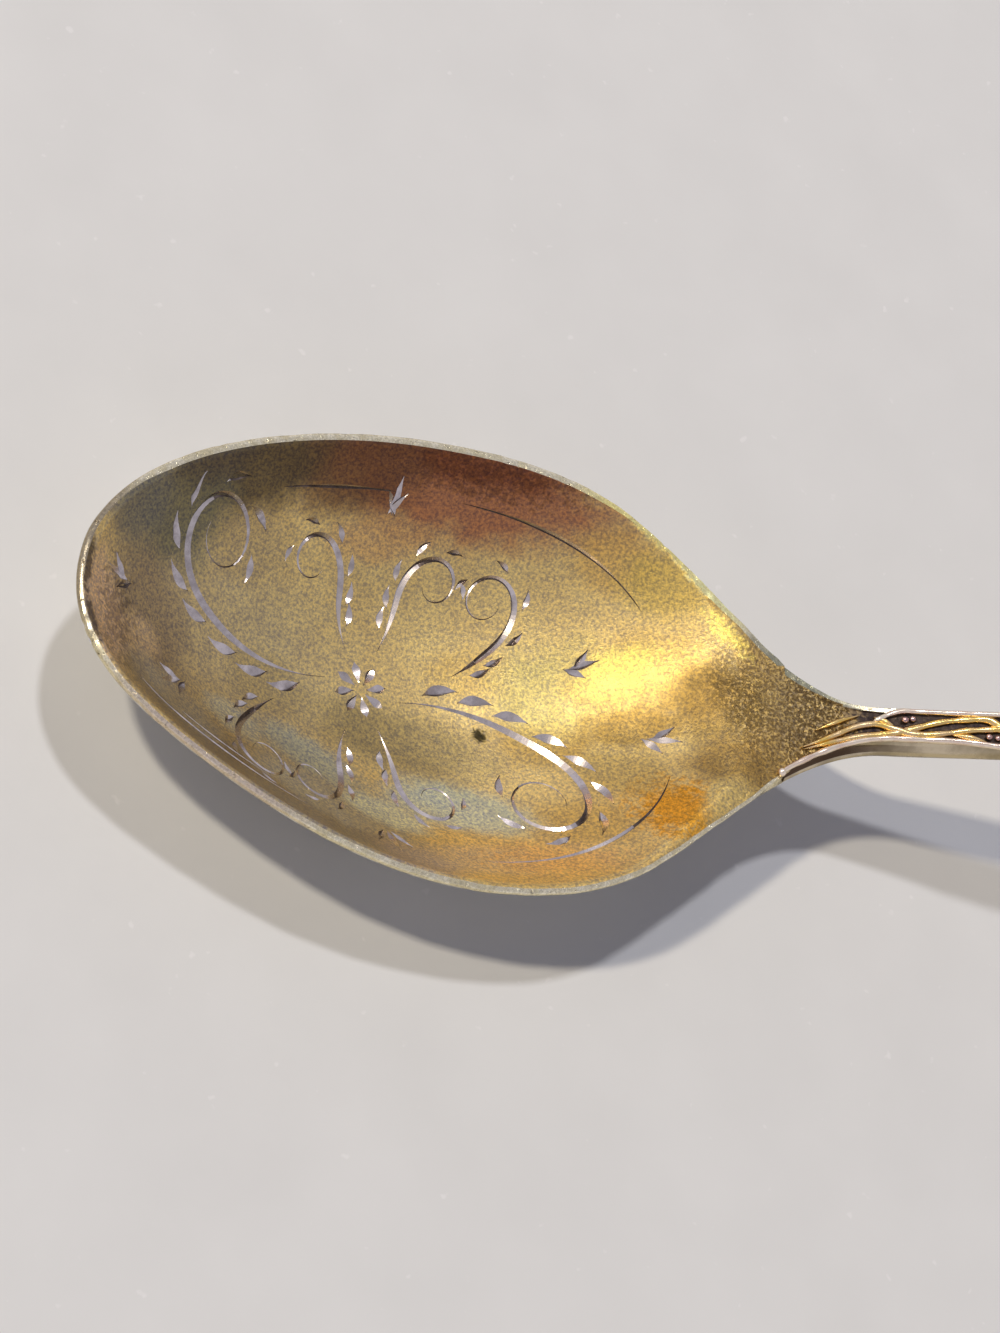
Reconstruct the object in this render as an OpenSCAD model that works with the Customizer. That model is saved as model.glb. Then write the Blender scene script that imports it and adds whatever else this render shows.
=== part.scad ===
// Teaspoon with a gilded bowl and a stem in relief.
// Lengths are in millimetres. X runs from the bowl's tip to the handle's end and Z is up.
// The origin is on the table, under the middle of the spoon's bounding box.
// Every piece is drawn in the rim's own frame, whose origin is the middle of the bowl's rim,
// and the module rest() sets the whole spoon down on its bowl and its handle's end.

/* [Overall] */
// Length of the whole spoon, along the rim's plane
spoon_l = 140; // [132:1:156]
// Solder film between two soldered faces
solder_gap = 0.02; // [0.01:0.01:0.05]

/* [Bowl] */
// Length of the bowl along its rim
bowl_l = 46; // [42:0.5:50]
// Width of the bowl across its rim, before the egg shape widens it
bowl_w = 29.8; // [26:0.2:34]
// Depth of the silver bowl below the middle of its rim
bowl_depth = 7.4; // [5.5:0.1:9]
// Wall thickness at the bottom of the bowl
bowl_wall = 0.9; // [0.6:0.05:1.4]
// Width of the rim's top edge
rim_w = 0.6; // [0.4:0.05:1]
// Height of the rim's outer edge
rim_t = 0.45; // [0.3:0.05:0.8]
// Rise of the rim at the tip, over its middle
tip_rise = 0.25; // [0:0.05:1]
// Rise of the rim at the neck, over its middle
neck_rise = 1.65; // [0.8:0.05:2.4]
// How much the egg widens towards the neck
egg_share = 0.174; // [0.05:0.01:0.25]
// How much both ends of the egg are filled out
full_share = 0.037; // [0:0.005:0.07]
// How much use has worn the near side of the tip
wear_share = 0.083; // [0:0.01:0.12]
// Place of the worn spot, as an angle from the tip
wear_angle = 43; // [30:1:60]
// Spread of the worn spot along the rim, as an angle
wear_spread = 28.6; // [15:1:40]

/* [Gilding] */
// Thickness of the gold lining of the bowl
gild_t = 0.1; // [0.06:0.01:0.2]

/* [Neck] */
// Distance that the shoulders start ahead of the bowl's end
shoulder_back = 6; // [4:0.25:8]
// Distance from the bowl's end to the soldered joint
joint_l = 4; // [3:0.25:6]
// Distance from the bowl's end to where the stem is narrow
neck_l = 11.5; // [9:0.5:14]
// Thickness of the shoulder plate
shoulder_t = 1.2; // [0.9:0.05:1.6]
// Thickness of the stem at the neck
neck_t = 2.5; // [2:0.1:3.2]
// Length of the lap under the bowl, from the joint
lap_l = 13; // [9:0.5:16]
// Thickness of the lap at its rounded end
lap_t = 0.4; // [0.2:0.05:0.8]

/* [Stem] */
// Width of the stem where it is narrow
stem_w = 3.2; // [2.6:0.1:4]
// Thickness of the stem past the neck
stem_t = 1.8; // [1.4:0.1:2.4]
// Bevel along the stem's face
bevel = 0.2; // [0.1:0.05:0.3]
// Distance from the bowl's end to the end of the stem's bend
bend_l = 13; // [10:0.5:16]
// Height of the face at the end of the bend, over the rim
bend_rise = 4.6; // [3.5:0.1:5.5]
// Distance from the bowl's end to the top of the arch
arch_l = 41; // [34:1:48]
// Height of the arch over the rim
arch_rise = 12.4; // [9:0.2:14]

/* [Terminal] */
// Length of the terminal
terminal_l = 29; // [25:1:34]
// Width of the terminal at its belly
terminal_w = 13; // [10:0.5:16]
// Width where the terminal joins the stem
root_w = 4.4; // [3.6:0.2:5.4]
// Length of the terminal's rounded end, past its belly
end_l = 10.5; // [8:0.5:13]
// Thickness of the terminal
terminal_t = 1.4; // [1.1:0.1:2]
// Height of the face at the very end, over the rim
end_rise = -1.6; // [-3:0.1:0]

/* [Borders] */
// Width of a border wire
wire_w = 0.52; // [0.4:0.02:0.64]
// Height of a border wire over the face
wire_h = 0.42; // [0.3:0.02:0.6]
// Distance from the edge of the face to a border wire
wire_inset = 0.06; // [0.02:0.02:0.12]
// Distance from the joint to the start of the near border
near_start = 0.3; // [0.2:0.1:1.5]
// Distance from the joint to the start of the far border
far_start = 2; // [1:0.1:4]
// Place of the far border's start across the neck, from the middle line
far_lean = -0.3; // [-0.6:0.05:0.2]

/* [Vine] */
// Width of a vine strand
strand_w = 0.4; // [0.3:0.02:0.5]
// Height of a vine strand over the face
strand_h = 0.34; // [0.24:0.02:0.5]
// Distance from the joint to the start of the vine
vine_start = 1.6; // [1:0.1:2]
// Distance of the vine's start from the middle line, on the near side
vine_lean = 1.4; // [1.2:0.05:1.6]
// Distance from one crossing of the vine's strands to the next
cross_pitch = 6; // [5:0.1:7]
// Widest swing of a strand from the vine's middle line
swing = 1.1; // [0.6:0.05:1.4]
// Gap between a strand and the border that it swings to
strand_gap = 0.1; // [0.06:0.02:0.2]
// Diameter of a bud
bud_d = 0.42; // [0.3:0.02:0.46]
// Gap round a bud
bud_gap = 0.04; // [0.02:0.01:0.08]

/* [Blossom] */
// Diameter across the petals
blossom_d = 7; // [5:0.2:8]
// Height of a petal over the face
petal_h = 0.55; // [0.4:0.05:0.8]
// Diameter of the blossom's heart
heart_d = 1.8; // [1.2:0.1:2.4]
// Gap round the blossom's heart
heart_gap = 0.06; // [0.04:0.02:0.1]
// Number of petals
petals = 5; // [4:1:7]

/* [Hidden] */

// Facets: round the bowl, from its middle to its rim, across a belly and over a wire
round_n = 64;
ring_n = 11;
belly_n = 8;
wire_n = 5;
// Stations along the shoulder, the lap, the stem, the terminal's swell and its end
shoulder_n = 12;
lap_n = 12;
stem_n = 40;
border_n = 52;
lead_n = 8;
swell_n = 14;
cap_n = 12;
// Stations along a vine strand between two crossings
strand_n = 7;
// Overrun of a cut past the face that it leaves
overrun = rim_w;

// Fall of the bowl's wall, from its middle to its rim, as a power of the distance
bowl_power = 2.4;
// Roundness of a belly, where 1 is an ellipse and less is flatter
belly_power = 0.6;
// Slopes of the face at the end of the bend and at the very end
bend_slope_share = 0.41;
end_slope_share = -0.3;
// Part of a small half-width that a bevel or an inset may take
narrow_share = 0.5;
// Angle at which the terminal's rounded end is cut blunt
blunt_angle = 87;
// Crowding of the stations towards the neck, where 1 spaces them evenly
stem_crowd = 1.3;
// Slope of the far border where it starts across the neck
lead_slope_share = 0.5;
// Part of the terminal's length where the blossom sits
blossom_share = 0.6;

// Places along the spoon, from the middle of the bowl's rim
bowl_end = bowl_l / 2;
shoulder_x = bowl_end - shoulder_back;
joint_x = bowl_end + joint_l;
neck_x = bowl_end + neck_l;
bend_x = bowl_end + bend_l;
arch_x = bowl_end + arch_l;
end_x = spoon_l - bowl_l / 2;
terminal_x = end_x - terminal_l;
belly_x = end_x - end_l;
lap_x = joint_x - lap_l;

// Easing from 0 to 1 with level ends
function ease(t) = let (u = max(0, min(1, t))) u * u * (3 - 2 * u);

// Cubic curve over a span, from its end values and its end slopes
function span(x, x0, x1, y0, m0, y1, m1) =
    let (l = x1 - x0, t = (x - x0) / l)
    y0 * (1 - ease(t)) + y1 * ease(t)
    + m0 * l * t * pow(1 - t, 2) + m1 * l * t * t * (t - 1);

// Height of the top face at x: the rim, the bend of the neck, the arch and the fall to the end
function face_z(x) =
    x < 0 ? tip_rise * pow(x / bowl_end, 2)
    : x < bowl_end ? neck_rise * ease(x / bowl_end)
    : x < bend_x ? span(x, bowl_end, bend_x, neck_rise, 0, bend_rise, bend_slope_share)
    : x < arch_x ? span(x, bend_x, arch_x, bend_rise, bend_slope_share, arch_rise, 0)
    : span(x, arch_x, end_x, arch_rise, 0, end_rise, end_slope_share);

// Slope of the top face, as an angle
function face_angle(x) = atan((face_z(x + bevel) - face_z(x - bevel)) / (2 * bevel));

// Point of an egg outline at an angle from the tip: x, y
function egg(a, l, w) =
    let (c = cos(a),
         worn = a > 180 ? wear_share * exp(-pow((360 - a - wear_angle) / wear_spread, 2)) : 0)
    [-l / 2 * c, w / 2 * sin(a) * (1 - egg_share * c + 2 * full_share * c * c) * (1 - worn)];

// Half-width of the egg at x, on its unworn side
function egg_half(x) = egg(acos(-x / bowl_end), bowl_l, bowl_w)[1];
egg_slope = (egg_half(shoulder_x + rim_w) - egg_half(shoulder_x - rim_w)) / (2 * rim_w);

// Half-width of the face and of the stem below it, at x
function half_w(x) =
    x < neck_x ? span(x, shoulder_x, neck_x, egg_half(shoulder_x), egg_slope, stem_w / 2, 0)
    : x < terminal_x ? stem_w / 2 + (root_w - stem_w) / 2 * ease((x - neck_x) / (terminal_x - neck_x))
    : x < belly_x ? root_w / 2
                    + (terminal_w - root_w) / 2 * ease((x - terminal_x) / (belly_x - terminal_x))
    : terminal_w / 2 * sqrt(max(0, 1 - pow((x - belly_x) / end_l, 2)));

// Thickness of the handle at x
function thick(x) =
    x < neck_x ? neck_t
    : x < terminal_x ? stem_t + (neck_t - stem_t) * (1 - ease((x - neck_x) / neck_l))
                       + (terminal_t - stem_t) * ease((x - arch_x) / (terminal_x - arch_x))
    : terminal_t;

// Points of a swept solid's ring: a face, two bevels and a round belly, at x
function ring(x, w, t, top = 0) =
    let (b = min(bevel, w * narrow_share), z = face_z(x) - top)
    concat([[x, b - w, z], [x, w - b, z]],
           [for (i = [0 : belly_n]) let (a = 180 * i / belly_n)
               [x, w * cos(a), z - b - (t - b) * pow(max(0, sin(a)), belly_power)]]);

// Faces that join rings of n points each into a closed solid
function sweep_faces(rings, n) = concat(
    [[for (j = [n - 1 : -1 : 0]) j]],
    [[for (j = [0 : n - 1]) (rings - 1) * n + j]],
    [for (i = [0 : rings - 2], j = [0 : n - 1])
        let (k = (j + 1) % n) [i * n + j, (i + 1) * n + k, (i + 1) * n + j]],
    [for (i = [0 : rings - 2], j = [0 : n - 1])
        let (k = (j + 1) % n) [i * n + j, i * n + k, (i + 1) * n + k]]);

// A closed solid swept through rings of points
module sweep(rings) {
    polyhedron([for (r = rings, p = r) p], sweep_faces(len(rings), len(rings[0])));
}

// Ring of a dish at a share of the way from its middle to its edge
function dish_ring(share, l, w, depth, drop) = [for (j = [0 : round_n - 1])
    let (p = egg(360 * j / round_n, l, w))
    [p[0] * share, p[1] * share,
     (face_z(p[0]) - drop) * share * share - depth * (1 - pow(share, bowl_power))]];

// A dish: its underside, an edge of the given height and a lid, or another dish's surface, on top
function dish_points(l, w, depth, drop) = concat(
    [[0, 0, -depth]],
    [for (i = [1 : ring_n], p = dish_ring(i / ring_n, l, w, depth, drop)) p]);

function dish_faces(start, up) = concat(
    [for (j = [0 : round_n - 1]) let (k = (j + 1) % round_n)
        up ? [start, start + 1 + j, start + 1 + k] : [start, start + 1 + k, start + 1 + j]],
    [for (i = [0 : ring_n - 2], j = [0 : round_n - 1])
        let (k = (j + 1) % round_n, a = start + 1 + i * round_n, b = a + round_n)
        up ? [a + j, b + k, a + k] : [a + j, a + k, b + k]],
    [for (i = [0 : ring_n - 2], j = [0 : round_n - 1])
        let (k = (j + 1) % round_n, a = start + 1 + i * round_n, b = a + round_n)
        up ? [a + j, b + j, b + k] : [a + j, b + k, b + j]]);

// Faces between two rings of points that start at a and b
function band_faces(a, b) = concat(
    [for (j = [0 : round_n - 1]) let (k = (j + 1) % round_n) [a + j, b + k, b + j]],
    [for (j = [0 : round_n - 1]) let (k = (j + 1) % round_n) [a + j, a + k, b + k]]);

// Ring of a lid at a distance inside the rim, level with the face
function lid_ring(l, w, inset, lid) = [for (j = [0 : round_n - 1])
    let (p = egg(360 * j / round_n, l - 2 * inset, w - 2 * inset))
    [p[0], p[1], face_z(p[0]) + lid]];

// A solid between a dish's underside and a raised lid
module dish_body(l, w, depth, edge, lid) {
    under = dish_points(l, w, depth, edge);
    n = len(under);
    shelf = n + round_n;
    points = concat(under, lid_ring(l, w, 0, lid), lid_ring(l, w, 2 * rim_w, lid), [[0, 0, lid]]);
    faces = concat(dish_faces(0, false), band_faces(n - round_n, n), band_faces(n, shelf),
                   [for (j = [0 : round_n - 1])
                       [shelf + j, shelf + (j + 1) % round_n, shelf + round_n]]);
    polyhedron(points, faces);
}

// Underside of the bowl on the spoon's middle line, at x
function keel_z(x) =
    let (s = abs(x) / bowl_end)
    (face_z(x < 0 ? -bowl_end : bowl_end) - rim_t) * s * s
    - (bowl_depth + bowl_wall) * (1 - pow(s, bowl_power));

// The bowl and its shoulder before they are hollowed
module bowl_blank() {
    dish_body(bowl_l, bowl_w, bowl_depth + bowl_wall, rim_t, 0);
    sweep([for (i = [0 : shoulder_n])
        let (x = shoulder_x + (joint_x - shoulder_x) * i / shoulder_n)
        ring(x, half_w(x), shoulder_t)]);
}

// The struck silver bowl, with its rim and its shoulders
module bowl() {
    color("#C9C2A8") difference() {
        bowl_blank();
        dish_body(bowl_l - 2 * rim_w, bowl_w - 2 * rim_w, bowl_depth, 0, overrun);
    }
}

// The gold lining, which fills the bowl's hollow from the rim down
module gilding() {
    l = bowl_l - 2 * rim_w;
    w = bowl_w - 2 * rim_w;
    under = dish_points(l, w, bowl_depth, 0);
    inner = dish_points(l - 2 * gild_t, w - 2 * gild_t, bowl_depth - gild_t, 0);
    n = len(under);
    color("#B8995A") polyhedron(concat(under, inner),
        concat(dish_faces(0, false), dish_faces(n, true), band_faces(n - round_n, 2 * n - round_n)));
}

// Lowest line of the lap: under the bowl's wall, then blended into the underside of the stem
function lap_z(x) =
    let (a = keel_z(x) - lap_t, b = face_z(x) - neck_t)
    (a + b) / 2 - sqrt(pow((a - b) / 2, 2) + lap_t * lap_t);

// The lap under the bowl, a rounded drop that braces the joint
module lap() {
    sweep([for (i = [1 : lap_n])
        let (share = i / lap_n,
             x = lap_x + (joint_x + overrun - lap_x) * share,
             w = half_w(max(x, joint_x)) * sqrt(1 - pow(1 - share, 2)))
        ring(x, w, face_z(x) - lap_z(x) - bevel, bevel)]);
}

// The stem, with the lap that is soldered under the bowl
module stem() {
    start = joint_x + solder_gap;
    end = terminal_x - solder_gap;
    color("#B9AE8E") difference() {
        union() {
            sweep([for (i = [0 : stem_n])
                let (x = start + (end - start) * pow(i / stem_n, stem_crowd))
                ring(x, half_w(x), thick(x))]);
            lap();
        }
        translate([solder_gap, 0, -solder_gap]) bowl_blank();
    }
}

// Stations of the terminal: its swell, then its rounded end
function terminal_xs() = concat(
    [for (i = [0 : swell_n - 1]) terminal_x + (belly_x - terminal_x) * i / swell_n],
    [for (i = [0 : cap_n]) belly_x + end_l * sin(blunt_angle * i / cap_n)]);

// The terminal, a flat swelling end
module terminal() {
    color("#B9AE8E") sweep([for (x = terminal_xs()) ring(x, half_w(x), terminal_t)]);
}

// Ring of a flat-bottomed wire on the face, at a place in plan and along a direction in plan
function wire_ring(p, dir, w, h) =
    let (d = dir / norm(dir))
    [for (j = [0 : wire_n])
        let (a = 180 * j / wire_n, s = -w / 2 * cos(a), x = p[0] - d[1] * s)
        [x, p[1] + d[0] * s, face_z(x) + solder_gap + h * sin(a)]];

// A wire along a list of places in plan
module wire(path, w, h) {
    last = len(path) - 1;
    sweep([for (i = [0 : last])
        wire_ring(path[i], path[min(i + 1, last)] - path[max(i - 1, 0)], w, h)]);
}

// Distance of a border wire from the outline, and its place at x
border_inset = bevel + wire_inset + wire_w / 2;
function border_y(x) = half_w(x) - border_inset;

// Places along a border from x to the handle's end, where the two borders meet
function border_path(x) =
    let (end_angle = acos(solder_gap / (terminal_w / 2 - border_inset)))
    concat(
        [for (i = [0 : border_n - 1])
            let (u = x + (belly_x - x) * pow(i / border_n, stem_crowd)) [u, border_y(u)]],
        [for (i = [0 : cap_n]) let (a = end_angle * i / cap_n)
            [belly_x + (end_l - border_inset) * sin(a), (terminal_w / 2 - border_inset) * cos(a)]]);

// The near border, from the corner of the shoulder to the handle's end
module border_near() {
    color("#D8D0B4") mirror([0, 1, 0]) wire(border_path(joint_x + near_start), wire_w, wire_h);
}

// The far border, which first crosses the neck from the spoon's middle to its far side
module border_far() {
    x = joint_x + far_start;
    lead = [for (i = [0 : lead_n - 1])
        let (u = x + (neck_x - x) * i / lead_n)
        [u, span(u, x, neck_x, far_lean, lead_slope_share, border_y(neck_x), 0)]];
    color("#D8D0B4") wire(concat(lead, border_path(neck_x)), wire_w, wire_h);
}

// Free half-width between the borders at x
function channel(x) = max(strand_w, border_y(x) - wire_w / 2);

// Places where the two strands of the vine cross, up to the blossom
vine_x = joint_x + vine_start;
blossom_x = terminal_x + terminal_l * blossom_share;
crossings = floor((blossom_x - blossom_d / 2 - strand_w - vine_x) / cross_pitch);

// Middle line of the vine and its swing to either side, at x
function vine_y(x) = -vine_lean * (1 - ease((x - vine_x) / cross_pitch));
function vine_swing(x) = min(channel(x) - strand_gap - strand_w / 2, swing);

// One strand of the vine, on side 1 or -1 first
module strand(side) {
    n = crossings * strand_n;
    wire([for (i = [0 : n])
        let (x = vine_x + cross_pitch * crossings * i / n)
        [x, vine_y(x) + side * vine_swing(x) * sin(180 * i / strand_n)]], strand_w, strand_h);
}

// The vine, two strands that cross and are fused where they cross
module vine() {
    color("#C8A860") {
        strand(1);
        strand(-1);
    }
}

// The half of a ball that stands on the face at a place in plan
module dome(x, y, d) {
    translate([x, y, face_z(x) + solder_gap + d * narrow_share * narrow_share * narrow_share])
        rotate([0, -face_angle(x), 0])
            rotate_extrude($fn = 16) intersection() {
                circle(d = d, $fn = 16);
                square(d);
            }
}

// The buds, in pairs beside each crossing, on the far and the near side in turn
module buds() {
    color("#A08A80")
        for (i = [1 : crossings - 1], side = [-1, 1]) {
            x = vine_x + cross_pitch * i + side * (bud_d + bud_gap) / 2;
            dome(x, pow(-1, i + 1) * (min(channel(x), swing + strand_w) - bud_gap - bud_d / 2), bud_d);
        }
}

// One petal, half of a flattened ball, with its long axis along X
module petal(l, w) {
    intersection() {
        scale([l / 2, w / 2, petal_h]) sphere(1, $fn = 20);
        translate([-l, -w, 0]) cube([2 * l, 2 * w, 2 * petal_h]);
    }
}

// The blossom at the terminal's belly
module blossom() {
    reach = (blossom_d - heart_d) / 2 - heart_gap;
    middle = heart_d / 2 + heart_gap + reach / 2;
    petal_w = 2 * middle * sin(180 / petals) - heart_gap;
    color("#C8A860")
        translate([blossom_x, 0, face_z(blossom_x) + solder_gap])
            rotate([0, -face_angle(blossom_x), 0]) {
                for (i = [0 : petals - 1])
                    rotate(360 * i / petals) translate([middle, 0, 0]) petal(reach, petal_w);
                rotate_extrude($fn = 32) intersection() {
                    circle(d = heart_d, $fn = 32);
                    square(heart_d);
                }
            }
}

// Slope of the table in the rim's frame: the line that touches the bowl and the handle's end
keel = [for (i = [-ring_n : ring_n]) let (x = bowl_end * i / ring_n) [x, keel_z(x)]];
tail = [for (x = terminal_xs()) [x, face_z(x) - terminal_t]];
rest_angle = atan(min([for (q = tail)
    max([for (p = keel) (q[1] - p[1]) / (q[0] - p[0])])]));

// Where a point of the rim's frame lies along the table and over it
function along(p) = p[0] * cos(rest_angle) + p[1] * sin(rest_angle);
function over(p) = p[1] * cos(rest_angle) - p[0] * sin(rest_angle);
left_x = min([for (p = keel) along(p)]);
right_x = max([for (x = terminal_xs()) along([x, face_z(x)])]);
sides = [for (p = lid_ring(bowl_l, bowl_w, 0, 0)) p[1]];

// Sets the spoon down on the table, with the origin under the middle of its bounding box
module rest() {
    translate([-(left_x + right_x) / 2, -(min(sides) + max(sides)) / 2,
               -min([for (p = keel) over(p)])])
        rotate([0, rest_angle, 0]) children();
}

rest() bowl();
rest() gilding();
rest() stem();
rest() terminal();
rest() border_near();
rest() border_far();
rest() vine();
rest() buds();
rest() blossom();
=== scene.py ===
"""A silver teaspoon with a gilded, bright-cut bowl and a stem in relief, lying on pale paper.

Every piece is drawn in millimetres in the frame of the bowl's rim, as the CAD source draws it: the
origin is the middle of the rim, X runs to the handle's end and Z is up. SpoonForm.rest() sets a
point down on the table, in metres.
"""

import logging
import math
from dataclasses import dataclass, replace
from enum import Enum, IntEnum
from typing import Any, Callable, Iterable, Sequence

import bmesh
import bpy
from mathutils import Matrix, Vector, noise


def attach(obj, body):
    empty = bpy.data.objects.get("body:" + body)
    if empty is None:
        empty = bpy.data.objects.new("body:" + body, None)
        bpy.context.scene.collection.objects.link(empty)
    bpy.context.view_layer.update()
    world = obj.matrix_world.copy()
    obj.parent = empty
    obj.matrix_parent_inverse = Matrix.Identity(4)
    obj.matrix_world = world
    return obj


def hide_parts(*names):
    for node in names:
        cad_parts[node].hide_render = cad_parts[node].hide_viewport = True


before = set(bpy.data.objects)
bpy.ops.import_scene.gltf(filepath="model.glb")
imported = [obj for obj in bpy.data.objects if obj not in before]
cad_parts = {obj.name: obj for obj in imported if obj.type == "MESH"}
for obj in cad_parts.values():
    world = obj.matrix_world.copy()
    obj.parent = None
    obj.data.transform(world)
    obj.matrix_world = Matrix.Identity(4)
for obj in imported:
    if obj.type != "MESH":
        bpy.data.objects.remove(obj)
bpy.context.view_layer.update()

LOG = logging.getLogger("teaspoon")
BODY = "root"
MM = 0.001
# Points that lie closer together than this, in metres, become one.
WELD = 2e-7

# Range that holds most values of a noise pattern.
MOST = (0.38, 0.62)

# A place in plan, and a surface given by its height at a place.
Plan = tuple[float, float]
Surface = Callable[[float, float], float]
Socket = bpy.types.NodeSocket


def ease(t: float) -> float:
    """Returns a smooth rise from 0 to 1 with level ends."""
    u = min(max(t, 0.0), 1.0)
    return u * u * (3 - 2 * u)


def span(x: float, x0: float, x1: float, start: Plan, end: Plan) -> float:
    """Follows a cubic curve over a span.

    Args:
        x: Place along the span.
        x0: Where the span starts.
        x1: Where the span ends.
        start: Value and slope at the start.
        end: Value and slope at the end.

    Returns:
        The curve's value at x.
    """
    length = x1 - x0
    t = (x - x0) / length
    bend = start[1] * t * (1 - t) ** 2 + end[1] * t * t * (t - 1)
    return start[0] * (1 - ease(t)) + end[0] * ease(t) + bend * length


def lower(a: float, b: float, round_over: float) -> float:
    """Returns the lower of two heights, with the corner between them rounded over a height."""
    near = max(round_over - abs(a - b), 0.0) / round_over
    return min(a, b) - near * near * round_over / 4


def spline(knots: Sequence[Plan], steps: int) -> list[Plan]:
    """Runs a smooth curve through knots in plan.

    Args:
        knots: Places that the curve passes.
        steps: Number of steps from one knot to the next.

    Returns:
        The places along the curve.
    """
    line = [Vector(k) for k in knots]
    line = [2 * line[0] - line[1], *line, 2 * line[-1] - line[-2]]
    path: list[Plan] = []
    for a, b, c, d in zip(line, line[1:], line[2:], line[3:]):
        for i in range(steps):
            t = i / steps
            p = b + 0.5 * t * ((c - a) + t * ((2 * a - 5 * b + 4 * c - d) + t * (3 * b - 3 * c + d - a)))
            path.append((p.x, p.y))
    path.append(tuple(knots[-1]))
    return path


def rough(x: float, y: float, size: float, seed: float) -> float:
    """Returns smooth noise between about -1 and 1 in plan, with lumps of a size in millimetres."""
    return noise.noise(Vector((x / size + seed, y / size - seed, 2 * seed)))


def held(step: int, last: int) -> int:
    """Returns a step held between 0 and the last one."""
    return min(max(step, 0), last)


def stride(path: Sequence[Plan], k: int) -> Plan:
    """Returns the way from the place before step k of a path to the place after it."""
    (x, y), (u, v) = path[held(k - 1, len(path) - 1)], path[held(k + 1, len(path) - 1)]
    return (u - x, v - y)


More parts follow.
